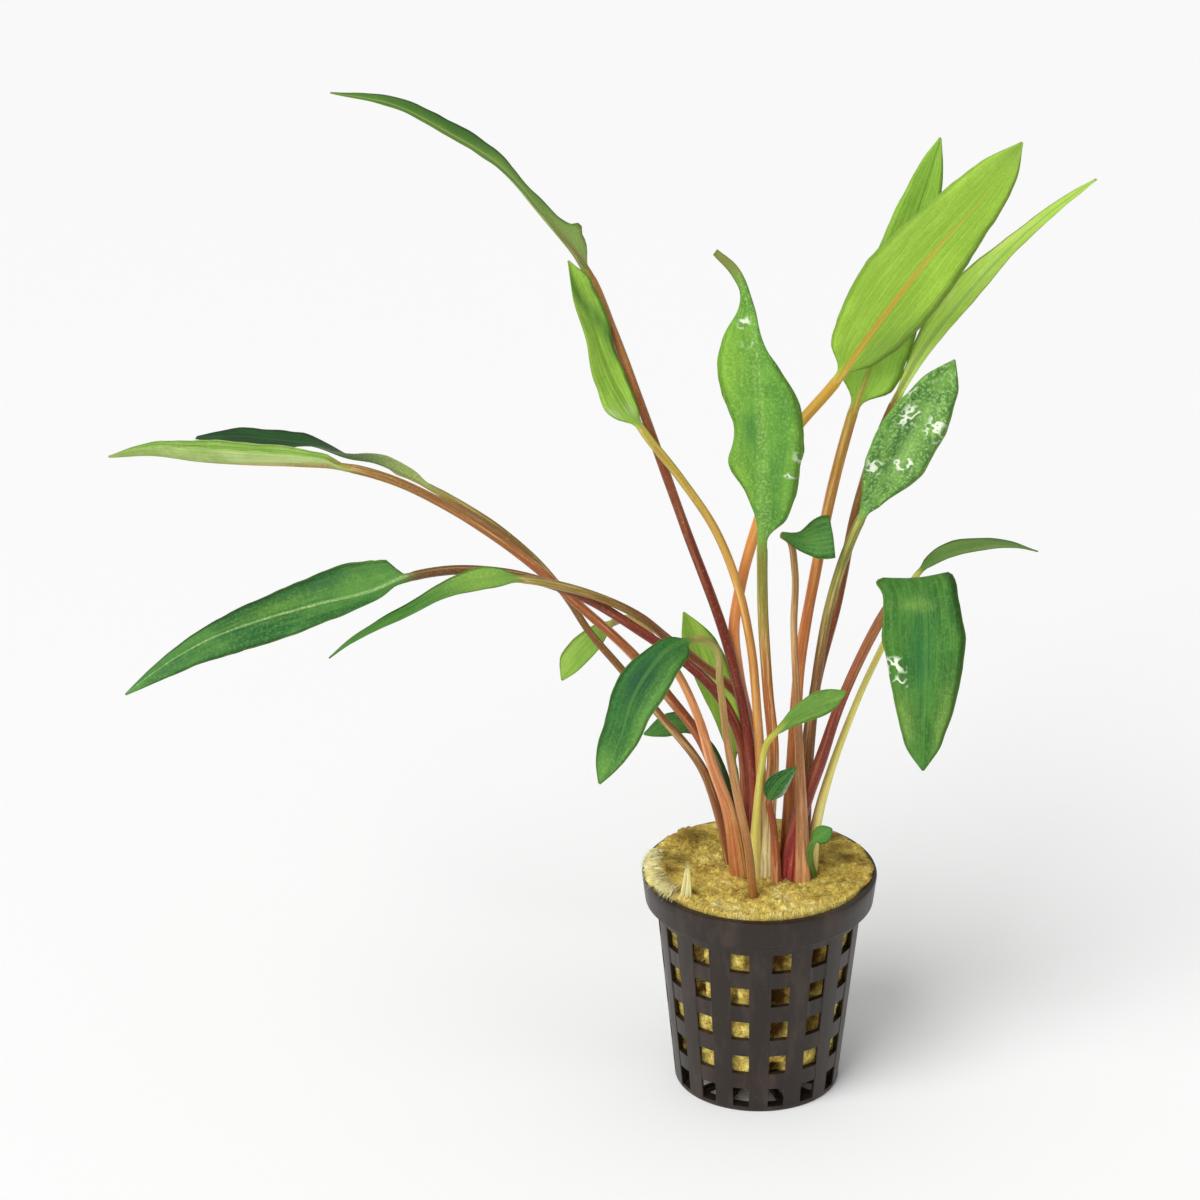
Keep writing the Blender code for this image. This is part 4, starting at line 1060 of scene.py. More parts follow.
# %% Palettes
# shade and glow are the colours of painted shade and painted highlights, in places darker and paler patches
# too.
FRESH = {
    "upper": ((116, 160, 50), (144, 188, 64)), "under": ((136, 176, 70), (156, 192, 84)),
    "line": (168, 206, 96), "speck": (128, 170, 58), "rim": (152, 190, 82), "rib": (122, 166, 56),
    "shade": (96, 138, 46), "glow": (170, 212, 78),
    "foot": (226, 159, 106), "middle": (209, 119, 59), "top": (176, 136, 55), "blush": (150, 66, 44),
    "blush_amount": 0.5, "threads": 0.36, "lines": 4.0, "line_strength": 0.22, "ladder": 0.07, "grain": 0.5,
    "patch": 5.0, "stretch": 3.0, "specks": 0.22, "rim_strength": 0.6,
    "rib_width": 0.8, "rib_from": 0.35, "rib_to": 0.95, "rib_broken": 0.2, "rib_strength": 0.85,
}
DEEP = dict(
    FRESH, upper=((60, 114, 42), (88, 144, 56)), under=((104, 150, 62), (126, 168, 78)),
    line=(112, 164, 74), speck=(110, 160, 74), rim=(110, 156, 62), rib=(98, 148, 62), shade=(34, 86, 42),
    glow=(126, 172, 62),
    foot=(209, 138, 98), middle=(141, 70, 45), top=(136, 98, 51), blush=(96, 28, 32),
    rib_from=-0.02, rib_to=0.05, rib_strength=0.4,
)
PALE = dict(
    FRESH, upper=((128, 172, 66), (152, 190, 84)), under=((150, 178, 92), (174, 196, 122)),
    line=(136, 168, 76), speck=(182, 204, 132), rim=(178, 202, 124), rib=(150, 150, 84), shade=(96, 136, 56),
    middle=(176, 100, 59), top=(175, 125, 61), blush=(112, 46, 34),
)
print(len(FRESH), "values in a palette")

# %% [markdown]
# ## The colours of the leaves
# Each leaf starts from one palette and states only what is its own. The colours could be set by hand in
# each material, but side by side they are easy to compare with each other and with the plant.

# %% Leaf colours
LOOKS = {
    "tall_arching_leaf": dict(DEEP, upper=((84, 126, 44), (116, 156, 58)),
        under=((104, 142, 52), (126, 162, 62)), rim=(160, 188, 94), glow=(172, 202, 104),
        shade=(62, 112, 40), rim_strength=0.8, rib=(160, 186, 92), rib_from=0.08, rib_to=0.34,
        rib_strength=0.9, rib_width=1.1, foot=(160, 68, 52), middle=(120, 52, 34), top=(172, 118, 62),
        threads=0.1),
    "folded_upright_leaf": dict(FRESH, upper=((136, 178, 62), (164, 206, 80)),
        under=((144, 186, 66), (166, 208, 84)), glow=(232, 244, 200), line_strength=0.1, grain=0.18,
        shade=(62, 110, 42), foot=(237, 170, 114), middle=(226, 163, 85), top=(183, 170, 70),
        blush=(160, 100, 52), rib=(104, 140, 46), rib_from=-0.02, rib_to=0.05, rib_strength=0.6),
    "wavy_centre_leaf": dict(DEEP, upper=((78, 134, 48), (112, 166, 58)),
        under=((104, 150, 60), (124, 168, 70)), rim=(138, 186, 72), end=(118, 126, 58),
        speck=(150, 192, 90), specks=0.55, glow=(150, 198, 70), shade=(66, 132, 56), rib=(160, 200, 106),
        patch=3.4, stretch=2.0, rib_width=2.0, rib_strength=0.55, rib_broken=0.75, lines=3.0,
        foot=(252, 240, 178), middle=(176, 102, 51), top=(130, 153, 61), blush=(128, 78, 40)),
    "broad_upper_leaf": dict(FRESH, upper=((146, 188, 56), (172, 212, 76)), line=(190, 220, 110),
        line_strength=0.12, lines=5.0, rim=(136, 176, 66), top=(218, 170, 64), middle=(226, 142, 83),
        foot=(209, 127, 95), blush=(160, 104, 40), blush_amount=0.25, rib=(150, 182, 62), rib_from=0.3,
        rib_to=0.9, rib_width=0.95, rib_strength=0.95, shade=(122, 158, 62), patch=8.0, grain=0.15),
    "upper_rear_leaf": dict(FRESH, upper=((136, 184, 62), (156, 202, 74)), top=(185, 151, 66),
        middle=(229, 146, 83), foot=(226, 148, 93), grain=0.25, rib=(108, 150, 54), rib_from=0.0,
        rib_to=0.3),
    "slim_right_leaf": dict(PALE, upper=((172, 214, 72), (200, 226, 112)),
        under=((174, 208, 92), (196, 220, 122)), grain=0.25, middle=(141, 78, 42), top=(114, 98, 45),
        foot=(154, 89, 51), rib=(140, 176, 84), rib_from=-0.02, rib_to=0.2),
    "mottled_right_leaf": dict(DEEP, upper=((62, 114, 42), (114, 164, 68)), patch=2.4, stretch=1.5,
        specks=0.8, speck=(162, 202, 126), rim=(128, 180, 84), rib=(128, 174, 90), top=(150, 159, 70),
        middle=(134, 93, 55), foot=(176, 110, 70), glow=(150, 194, 104), blush=(84, 34, 30)),
    "young_folded_leaf": dict(DEEP, upper=((52, 104, 42), (80, 130, 54)),
        under=((56, 108, 44), (82, 134, 56)), top=(172, 141, 85), middle=(174, 123, 78),
        foot=(220, 159, 110), blush=(120, 72, 46)),
    "drooping_right_leaf": dict(DEEP, upper=((50, 102, 38), (76, 130, 50)), glow=(150, 184, 84),
        top=(165, 114, 66), middle=(154, 85, 59), foot=(168, 64, 60), threads=0.12, blush=(104, 26, 38),
        blush_amount=0.65, lines=6.0, line_strength=0.1, ladder=0.0, shade=(46, 116, 62), patch=4.0,
        specks=0.3),
    "slim_arching_right_leaf": dict(DEEP, upper=((88, 122, 52), (112, 142, 70)), glow=(150, 176, 104),
        under=((112, 146, 88), (136, 164, 110)), top=(205, 206, 100), middle=(244, 236, 132),
        foot=(252, 240, 160), blush=(180, 140, 80), blush_amount=0.2),
    "small_centre_leaf": dict(FRESH, upper=((84, 124, 48), (108, 148, 60)), line=(130, 170, 76),
        top=(194, 195, 78), middle=(232, 222, 112), foot=(252, 240, 170), blush=(186, 150, 70),
        blush_amount=0.25, rib=(96, 138, 52), rib_from=0.0, rib_to=0.3),
    "dark_young_leaf": dict(DEEP, upper=((22, 76, 38), (46, 98, 44)), under=((44, 96, 44), (66, 114, 52)),
        glow=(240, 244, 224), rim=(90, 140, 70), foot=(198, 123, 89), middle=(176, 102, 66),
        top=(170, 96, 59)),
    "spoon_leaf": dict(DEEP, upper=((62, 120, 46), (86, 136, 58)), foot=(121, 127, 57),
        middle=(95, 129, 53), top=(81, 134, 53), blush=(60, 84, 36)),
    "drooping_front_leaf": dict(DEEP, upper=((24, 84, 38), (54, 108, 46)), line=(80, 136, 62),
        speck=(84, 140, 62), glow=(116, 164, 72), shade=(14, 70, 40), foot=(165, 110, 55),
        middle=(189, 136, 85), top=(154, 155, 76), blush=(124, 78, 36), patch=3.0, specks=0.35),
    "pale_rear_leaf": dict(FRESH, upper=((134, 176, 66), (162, 198, 76)), top=(134, 159, 61),
        middle=(132, 148, 59), foot=(154, 148, 70), blush=(100, 96, 44), rib_from=0.0, rib_to=0.3),
    "small_left_leaf": dict(DEEP, upper=((46, 98, 38), (72, 122, 52)), top=(66, 102, 42),
        middle=(57, 89, 38), foot=(92, 95, 45), blush=(34, 58, 28)),
    "pale_left_leaf": dict(FRESH, upper=((126, 166, 66), (148, 182, 76)), top=(154, 159, 81),
        middle=(238, 161, 104), foot=(194, 121, 70), blush=(150, 74, 48), rib_from=0.0, rib_to=0.3),
    "long_low_leaf": dict(DEEP, upper=((34, 94, 40), (84, 138, 62)), line=(104, 156, 74),
        line_strength=0.12, patch=7.0, specks=0.35, speck=(112, 160, 84), rib=(170, 200, 130), rib_to=0.02,
        rib_width=0.55, rib_strength=0.9, rib_broken=0.55, foot=(176, 98, 64), middle=(134, 53, 40),
        top=(114, 89, 49), threads=0.2),
    "twisted_low_leaf": dict(DEEP, upper=((62, 116, 48), (88, 142, 62)), glow=(150, 186, 76),
        top=(154, 136, 66), middle=(152, 95, 55), foot=(165, 106, 66)),
    "long_upper_left_leaf": dict(PALE, under=((146, 174, 84), (186, 204, 132)), grain=0.35,
        rib=(176, 140, 104), rib_from=0.3, rib_to=0.9, top=(156, 120, 60), middle=(164, 96, 54),
        foot=(170, 92, 66)),
    "rear_upper_left_leaf": dict(PALE, upper=((18, 58, 24), (40, 84, 38)),
        under=((24, 64, 28), (50, 92, 42)), glow=(184, 202, 112), line=(44, 88, 42), speck=(54, 98, 50),
        rim=(160, 172, 130), rib=(60, 96, 44), rib_from=0.0, rib_to=0.3, top=(146, 128, 62),
        middle=(138, 104, 54), foot=(150, 96, 60)),
}
assert sorted(LOOKS) == sorted(leaf["name"] for leaf in LEAVES)
print(len(LOOKS), "leaves have their colours")

# %% [markdown]
# ## Growing the leaves
# One loop now grows every leaf. Each is one piece, petiole and blade together, as the real leaf grew, and
# stands for the CAD node of its name. Bent copies of one leaf would be quicker, but no two of these are
# alike.

# %% Grow every leaf
SEED_STEP = 1.7

for number, shape in enumerate(LEAVES):
    leaf = {**PLAIN_LEAF, **shape}
    grown = leaf_object(leaf, number * SEED_STEP)
    grown.data.materials.append(leaf_material(leaf["name"], LOOKS[leaf["name"]], number))
    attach(grown, "root")
    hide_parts(leaf["name"])

# %% [markdown]
# ## The net pot
# The pot is moulded in one piece: a plain collar, upright ribs and thinner level bars between square
# windows, and a floor that is open too. One could cut the windows with Booleans. Spinning a profile round
# the axis, leaving out the faces where the windows are and thickening what stays gives cleaner faces. First
# comes the profile, from the rim down the wall and in along the floor.

# %% Profile of the pot
POT_HEIGHT, RIM_RADIUS = 54.0, 27.5
COLLAR_FOOT, COLLAR_FOOT_RADIUS = 47.0, 26.7
WALL_TOP, WALL_TOP_RADIUS, WALL_FOOT_RADIUS, POT_WALL = 46.4, 24.2, 19.4, 1.2
WINDOW_ROWS, WINDOW_HEIGHT = (41.2, 31.9, 22.5, 13.0, 3.8), 5.1
WINDOW_LEVELS = (0.5, 0.17, -0.17, -0.5)
FLOOR_RADII = (18.0, 16.6, 14.3, 11.9, 9.5, 7.0)


def wall_radius(height):
    """Outer radius of the tapering wall."""
    return WALL_FOOT_RADIUS + (WALL_TOP_RADIUS - WALL_FOOT_RADIUS) * height / WALL_TOP


def pot_profile():
    """(radius, height) down the outside and in along the floor."""
    rim = ((1.9, 0.12), (0.5, 0.0), (0.12, 0.14), (0.0, 0.5), (0.25, 2.6), (0.5, 4.8))
    profile = [(RIM_RADIUS - inward, POT_HEIGHT - down) for inward, down in rim]
    profile += [(COLLAR_FOOT_RADIUS + 0.05, 47.3), (COLLAR_FOOT_RADIUS - 0.25, COLLAR_FOOT)]
    profile += [(wall_radius(WALL_TOP) + 0.3, 46.6), (wall_radius(WALL_TOP), 46.2)]
    profile.append((wall_radius(44.4), 44.4))
    for row in WINDOW_ROWS:
        for share in WINDOW_LEVELS:
            height = row + WINDOW_HEIGHT * share
            profile.append((wall_radius(height), height))
    profile += [(wall_radius(0.5), 0.5), (WALL_FOOT_RADIUS - 0.25, 0.0)]
    return profile + [(radius, 0.0) for radius in FLOOR_RADII]


print(len(pot_profile()), "points in the profile")

# %% [markdown]
# ## Where the pot is open
# A face belongs to a window if its middle lies within the window's angle and height. On the floor, long
# slots lie between two circles, with narrow bars between them. The level bars stand a little behind the
# ribs, so their points are found by the same angle.

# %% Windows of the pot
WINDOW_COLUMNS, WINDOW_ANGLE, FIRST_WINDOW = 15, 11.0, -102.6
PITCH = 360.0 / WINDOW_COLUMNS
RIB_ANGLE = PITCH - WINDOW_ANGLE
SLOTS_FROM, SLOTS_TO = 7.0, 16.6


def window_turn(point):
    """Degrees from the middle of the last window column, and from the middle of the nearest."""
    turn = (math.degrees(math.atan2(point.y, point.x)) - FIRST_WINDOW) % PITCH
    return turn, min(turn, PITCH - turn)


def pot_is_open(face):
    """True where the wall or the floor has a window."""
    centre = face.calc_center_median() / MM
    turn, off_column = window_turn(centre)
    if centre.z > 0.1:
        level = any(abs(centre.z - row) < WINDOW_HEIGHT / 2 for row in WINDOW_ROWS)
        return level and off_column < WINDOW_ANGLE / 2
    radius = math.hypot(centre.x, centre.y)
    return SLOTS_FROM < radius < SLOTS_TO and not WINDOW_ANGLE / 2 < turn < PITCH / 2


print("a window takes", WINDOW_ANGLE, "degrees and a rib", RIB_ANGLE)

# %% [markdown]
# ## Spinning the pot
# The profile is spun in steps that end at the sides of the windows, with one narrow step on each side of a
# rib, so that the bevel has room. Even steps would be simpler, but would miss those sides. Then the faces
# of the windows go, and the bars are drawn in.

# %% Spin the pot
RIB_EDGE_ANGLE = 0.5
BAR_SET_BACK = 0.14
BARS_FROM, BARS_TO = 1.0, 44.3

build = bmesh.new()
corners = [build.verts.new((radius * MM, 0, height * MM)) for radius, height in pot_profile()]
ring = corners + [build.edges.new(pair) for pair in zip(corners, corners[1:])]
start = Matrix.Rotation(math.radians(FIRST_WINDOW - WINDOW_ANGLE / 2), 3, "Z")
bmesh.ops.rotate(build, verts=corners, matrix=start)
stretches = (
    (WINDOW_ANGLE, 4), (RIB_EDGE_ANGLE, 1), (RIB_ANGLE - 2 * RIB_EDGE_ANGLE, 4), (RIB_EDGE_ANGLE, 1),
)
for angle, steps in stretches * WINDOW_COLUMNS:
    turned = bmesh.ops.spin(
        build, geom=ring, axis=(0, 0, 1), cent=(0, 0, 0), angle=math.radians(angle), steps=steps
    )
    ring = turned["geom_last"]
bmesh.ops.remove_doubles(build, verts=build.verts, dist=0.01 * MM)
floor_rim = [edge for edge in build.edges if edge.is_boundary and edge.verts[0].co.z < 1 * MM]
bmesh.ops.contextual_create(build, geom=floor_rim)
bmesh.ops.delete(build, geom=[face for face in build.faces if pot_is_open(face)], context="FACES")
for vert in build.verts:
    height = vert.co.z / MM
    if BARS_FROM < height < BARS_TO and window_turn(vert.co)[1] < WINDOW_ANGLE / 2 + 0.05:
        shrink = 1 - BAR_SET_BACK / wall_radius(height)
        vert.co.x *= shrink
        vert.co.y *= shrink
bmesh.ops.recalc_face_normals(build, faces=build.faces)
widest = max(build.faces, key=lambda face: face.calc_center_median().xy.length)
if widest.normal.xy.dot(widest.calc_center_median().xy) < 0:
    bmesh.ops.reverse_faces(build, faces=build.faces)
pot = new_piece("net_pot_moulding", mesh_of("net_pot_moulding", build))

# %% [markdown]
# ## Wall and edges
# The skin gets its thickness inward, so that the outside keeps the size of the CAD pot, and a bevel rounds
# all edges as a mould does. Both could be built into the mesh, but as modifiers they stay easy to change.

# %% Thickness and rounded edges
EDGE_WIDTH, SHARPER_THAN = 0.22, 35

shell = pot.modifiers.new("wall", "SOLIDIFY")
shell.thickness = POT_WALL * MM
shell.offset = -1.0
shell.use_even_offset = True
soften = pot.modifiers.new("moulded_edges", "BEVEL")
soften.width = EDGE_WIDTH * MM
soften.segments = 2
soften.limit_method = "ANGLE"
soften.angle_limit = math.radians(SHARPER_THAN)
soften.harden_normals = True
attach(pot, "root")
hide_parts("net_pot")
print("wall", POT_WALL, "mm, edges", EDGE_WIDTH, "mm")

# %% [markdown]
# ## Moulded plastic
# The pot's plastic is dark, slightly warm and satin. Its gloss isn't even: it has a faint grain from the
# mould, dull dusty places and brown traces of the wool. The dusty places are upright streaks of a lighter
# colour, which are dust and painted sheen together. The grain goes into the bump, and the dust with its
# painted sheen and the traces into colour and roughness.

# %% Plastic material
plastic, tree, shader = new_material("satin_black_plastic")
where = put(tree, "TexCoord")["Object"]
grain = where.cloud(scale=2600.0, detail=2.0)
stretched = put(tree, "Mapping", {"Vector": where, "Scale": (1.0, 1.0, 0.25)})[0]
dust_sheen_noise = stretched.cloud(scale=190.0, detail=5.0, roughness=0.65)
trace = where.cloud(scale=330.0, detail=4.0, roughness=0.7)
# Lighter, duller upright streaks: dust and painted sheen together.
dust_and_sheen = dust_sheen_noise.rise(0.45, 0.72)
colour = mix(dust_and_sheen, tint(36, 26, 19), tint(60, 47, 39))
connect(shader, {
    "Base Color": mix(trace.rise(0.6, 0.76) * 0.35, colour, tint(92, 62, 38)),
    "Roughness": 0.36 + dust_and_sheen * 0.16,
    "Normal": (grain + dust_sheen_noise * 1.5).bump(strength=0.25, depth=0.05),
    "Specular IOR Level": 0.36,
})
pot.data.materials.append(plastic)
print("material", plastic.name)

# %% [markdown]
# ## The rock wool
# Rock wool is a felt of very fine mineral fibres, cut to a plug. It is lumpy and pitted, it closes round
# every petiole, and it presses against the pot's windows in some places and stands back, damp and with
# painted shade, in others. A smooth plug with a bump map would look like putty. So the plug is a fine grid
# pushed in and out by noise, and thousands of fibres lie over it as real, closed little tubes. Where it is
# brown, cream or hollow is listed first, in millimetres and, for the side, in degrees round the pot.

# %% Stains and hollows
WOOL_FOOT = 9.5
TOP_RADIUS = RIM_RADIUS - POT_WALL - 1.15
EDGE_HEIGHT = POT_HEIGHT - 0.9
PITS = ((-3.6, -4.8), (8.2, -6.6))
# x, y, reach and strength of the brown places on top; the two at the pits are painted shade in them, partly
# damp wool too
STAINS = (
    (-19.0, 3.5, 4.2, 0.75), (-15.5, 14.5, 4.5, 0.75), (20.5, 4.8, 3.2, 0.85), (14.5, 2.4, 2.6, 0.7),
    (25.0, 1.5, 2.6, 0.6), (-3.6, -4.8, 1.4, 1.0), (8.2, -6.6, 1.4, 1.0), (23.0, -8.0, 2.8, 0.5),
    (14.5, -15.0, 2.4, 0.5), (-20.5, -2.5, 2.4, 0.8),
)
# x, y and reach of the dry, cream places on top
CREAM = (
    (-24.5, 3.0, 2.6), (-25.0, -3.0, 2.8), (-23.0, -9.5, 2.8), (-19.5, -14.0, 2.6), (5.0, -22.5, 5.0),
    (-6.0, -22.5, 5.0), (12.0, -20.5, 3.0), (-11.0, -18.5, 3.0), (-9.0, -8.5, 3.5), (5.0, -13.0, 4.5),
    (-12.0, 4.0, 4.0),
)
# angle, height, half of the angle, half of the height and depth of the hollows behind the windows
HOLLOWS = (
    (-79, 41.5, 7.0, 3.0, 2.4), (-55, 41.0, 8.0, 3.4, 3.0), (-78, 32.0, 7.5, 4.0, 3.4),
    (-54, 31.5, 7.5, 4.0, 3.2), (-78, 22.5, 7.0, 3.4, 2.6), (-53, 22.5, 7.0, 3.4, 2.6),
    (-150, 41.0, 6.0, 3.4, 2.6), (-150, 32.0, 7.0, 4.0, 3.2), (-148, 22.5, 7.0, 4.5, 3.6),
    (-148, 13.0, 8.0, 4.5, 4.5), (-132, 40.5, 4.0, 3.6, 1.8), (-132, 31.5, 4.0, 3.4, 1.8),
    (-108, 31.0, 3.0, 3.4, 1.6), (-78, 10.6, 5.0, 1.8, 2.6), (-97, 41.0, 3.5, 3.4, 1.6),
    (30, 30.0, 12.0, 8.0, 3.0), (95, 38.0, 10.0, 6.0, 3.0), (150, 25.0, 10.0, 8.0, 3.0),
)
print(len(STAINS), "stains,", len(CREAM), "cream places,", len(HOLLOWS), "hollows")

# %% [markdown]
# ## The torn edge
# Real wool is not cut clean. On the left a bleached tuft hangs over the rim, and round the back a thin lip
# of wool lies on it. How far it reaches is noise, held back by the angle, so that the edge looks torn.
# Modelling the shreds by hand would take long and would look no looser.

# %% Tuft and lip
def unit(value):
    """The value kept between 0 and 1."""
    return min(1.0, max(0.0, value))


def near(x, y, place, spread):
    """1 at a place on the top, fading round it. spread is the square of its reach."""
    return math.exp(-(((x - place[0]) ** 2 + (y - place[1]) ** 2) / spread))


def turbulence(point, size, seed, octaves=4):
    """Layered noise, about -1 to 1, for a point in millimetres."""
    return noise.fractal(Vector(point) / size + Vector((seed, seed * 0.7, -seed)), 0.6, 2.1, octaves)


def tuft(x, y):
    """1 where the torn wool hangs over the rim on the left, 0 elsewhere."""
    angle = math.degrees(math.atan2(y, x)) % 360
    torn = 0.75 + 0.5 * turbulence((x, y, 0), size=3.0, seed=17.0)
    return unit(torn * math.exp(-(((angle - 190) / 24) ** 4)))


def spill(x, y):
    """How far the wool lies over the rim: torn on the left, a soft lip round the back, none in front."""
    back = unit((y + 13.0) / 7.0) * (0.55 + 0.3 * turbulence((x, y, 0), size=4.0, seed=27.0))
    return max(tuft(x, y), min(0.7, max(0.0, back)))


print("spill at the left", round(spill(-24, -4), 2), "and in front", round(spill(0, -24), 2))

# %% [markdown]
# ## The top of the wool
# The top is a height over each place: lumps of two sizes, a fold by the rim, a mound at the back left, a
# crack at the right, two pits, and a dimple round every petiole, where the wool was pressed aside. It could
# be sculpted, but a sum of heights can be changed one feature at a time.

# %% Height of the top
TOP_LEVEL = POT_HEIGHT + 0.85
FOLD, FOLD_REACH, FOLD_HEIGHT = (-24.5, -2.0), (2.6, 9.0), 1.0
MOUND, MOUND_HEIGHT, MOUND_SPREAD = (-16.5, 15.5), 1.5, 26.0
LOWER_AT_BACK = 0.6
PIT_DEPTH, PIT_SPREAD = 1.8, 1.2
DIMPLE_DEPTH, DIMPLE_SPREAD = 0.5, 3.0
CRACK_FROM, CRACK_DEPTH = 9, 1.6
EDGE_ROLL = 1.1


def wool_top(x, y):
    """Height of the wool's top in millimetres."""
    torn_front = unit((-y - 14.0) / 5.0)
    small = abs(turbulence((x, y, 0), size=2.6, seed=8.0))
    lumps = 0.7 * turbulence((x, y, 0), size=5.0, seed=3.0) + (0.9 + 0.7 * torn_front) * small - 0.3
    level = TOP_LEVEL + lumps
    off_fold = ((x - FOLD[0]) / FOLD_REACH[0]) ** 2 + ((y - FOLD[1]) / FOLD_REACH[1]) ** 2
    level += FOLD_HEIGHT * math.exp(-off_fold)
    level += MOUND_HEIGHT * near(x, y, MOUND, MOUND_SPREAD)
    level -= LOWER_AT_BACK * unit((y - 4.0) / 10.0)
    if x > CRACK_FROM:
        off_crack = abs(y - 3.6 - 1.1 * math.sin(x * 0.55))
        level -= CRACK_DEPTH * math.exp(-(off_crack**2)) * unit((x - CRACK_FROM) / 4)
    for pit in PITS:
        level -= PIT_DEPTH * near(x, y, pit, PIT_SPREAD)
    for leaf in LEAVES:
        level -= DIMPLE_DEPTH * near(x, y, leaf["stalk"][0], DIMPLE_SPREAD)
    return level


def wool_edge(x, y):
    """The top's height with its edge rolled down inside the rim."""
    edge = unit((TOP_RADIUS - math.hypot(x, y)) / EDGE_ROLL)
    return EDGE_HEIGHT + (wool_top(x, y) - EDGE_HEIGHT) * math.sqrt(edge * (2 - edge))


print("top in the middle", round(wool_top(0, 0), 1), "mm, in a pit", round(wool_top(*PITS[0]), 1), "mm")

# %% [markdown]
# ## Damp, dry and painted shade
# One number says how damp the wool is, and the colours follow from it in the material. It could be painted
# on the mesh. Here it is noise with the listed places laid over it, and round each petiole's foot the wool
# is darker: painted shade where the petiole goes into the wool, partly damp wool too.

# %% Stains and painted shade
# Strength and reach of the painted shade round each petiole's foot, partly damp wool too.
FOOT_SHADE_AND_DAMP, FOOT_SHADE_AND_DAMP_SPREAD = 0.4, 2.4
TUFT_FROM = TOP_RADIUS - 2.2


def wool_damp_and_shade(x, y, z):
    """From -1, dry and cream, over 0 to 1, damp and brown; pits and petiole feet get painted shade."""
    stain = 0.6 * turbulence((x, y, z), size=6.0, seed=21.0)
    stain += 0.55 * turbulence((x, y, z), size=2.2, seed=41.0)
    if z > POT_HEIGHT - 2:
        for *place, reach, amount in STAINS:
            stain = max(stain, amount * near(x, y, place, reach**2))
        # Painted shade round each petiole's foot, partly damp wool too.
        for leaf in LEAVES:
            stain = max(stain, FOOT_SHADE_AND_DAMP * near(x, y, leaf["stalk"][0], FOOT_SHADE_AND_DAMP_SPREAD))
        dry = 0.5 + 0.9 * turbulence((x, y, 0), size=1.6, seed=51.0)
        for *place, reach in CREAM:
            stain -= dry * near(x, y, place, reach**2)
        stain -= tuft(x, y) if math.hypot(x, y) > TUFT_FROM else 0.0
    return max(-1.0, min(1.0, stain))


pit_stain, tuft_stain = wool_damp_and_shade(*PITS[0], POT_HEIGHT), wool_damp_and_shade(-25, -3, POT_HEIGHT)
print("damp in a pit", round(pit_stain, 2), "and on the tuft", round(tuft_stain, 2))

# %% [markdown]
# ## The side of the wool
# The side fills the pot up to its wall, steps out under the collar, and sinks into the listed hollows
# behind the windows, where it is darker too: damper, and with painted shade in the hollow. A plain cylinder
# behind the windows would show as a flat wall.

# %% Radius of the side
GAP, COLLAR_GAP = 0.3, 0.45
STEPS_OUT_OVER = 2.4
DRAWN_IN_FROM, DRAWN_IN = 50.0, 0.8


def wool_side(angle, height):
    """(radius, stain) of the wool's side; the stain deepens in hollows as painted shade."""
    reach = wall_radius(min(height, WALL_TOP)) - POT_WALL - GAP
    if height > WALL_TOP:
        share = unit((height - WALL_TOP) / STEPS_OUT_OVER)
        drawn_in = DRAWN_IN * max(0.0, (height - DRAWN_IN_FROM) / 3.0)
        reach += (RIM_RADIUS - POT_WALL - COLLAR_GAP - reach) * share - drawn_in
    x, y = on_circle(reach, math.radians(angle))
    sink = 0.5 * max(0.0, turbulence((x, y, height), size=4.5, seed=14.0) + 0.2)
    depth = 0.0
    for hollow_angle, hollow_height, half_angle, half_height, deep in HOLLOWS:
        turn = (angle - hollow_angle + 180) % 360 - 180
        far = (turn / half_angle) ** 4 + ((height - hollow_height) / half_height) ** 4
        depth = max(depth, deep * math.exp(-far))
    sink += depth + 0.15 * turbulence((x, y, height), size=0.9, seed=5.0)
    # Deeper hollows are darker: painted shade, partly damp wool too.
    return reach - max(0.0, sink), min(1.0, 0.4 * depth + wool_damp_and_shade(x, y, height))


in_hollow, beside = wool_side(-54, 31.5)[0], wool_side(-66, 31.5)[0]
print("radius in a hollow", round(in_hollow, 1), "mm, beside it", round(beside, 1), "mm")

# %% [markdown]
# ## The plug
# The plug is one closed skin of rings: out along its foot, up its side and in over its top. Remeshing a
# rough block would be shorter, but would lose the even rings that follow the pot. Each of the three parts
# says where its points lie, how damp they are and how much painted shade they get.

# %% Points of the plug
FOOT_STAIN = 0.6
SPILL_FROM, SPILL_OVER, SPILL_SHARE = 0.8, 0.2, 0.13
LIES_ON_RIM = 0.25


def foot_point(share, angle):
    """A point under the plug and its stain."""
    x, y = on_circle(share * wool_side(angle, WOOL_FOOT)[0], math.radians(angle))
    return (x, y, WOOL_FOOT + 0.5 * turbulence((x, y, 0), size=3.0, seed=30.0)), FOOT_STAIN


def side_point(height, angle):
    """A point of the plug's side and its stain."""
    radius, stain = wool_side(angle, height)
    return (*on_circle(radius, math.radians(angle)), height), stain


def top_point(share, angle):
    """A point of the plug's top and its stain. Near the edge the wool spills over the rim."""
    x, y = on_circle(TOP_RADIUS * share, math.radians(angle))
    z = wool_edge(x, y)
    over = spill(x, y)
    reach = 1 + SPILL_SHARE * over * max(0.0, (share - SPILL_FROM) / SPILL_OVER)
    x, y = x * reach, y * reach
    if over > LIES_ON_RIM:
        z = max(z, POT_HEIGHT + 0.3 + 0.9 * tuft(x, y))
    return (x, y, z), wool_damp_and_shade(x, y, z)


print("highest point at the left rim", round(top_point(1 - 1 / 64, 190)[0][2], 1), "mm")

# %% [markdown]
# ## The plug's mesh
# 300 points in a ring are fine enough for the lumps to show in the outline, which a coarse plug with a bump
# map would leave smooth. The stain, with its painted shade, goes along as an attribute.

# %% Plug mesh
WOOL_TURNS, FOOT_RINGS, SIDE_STEPS, TOP_STEPS = 300, 14, 96, 64

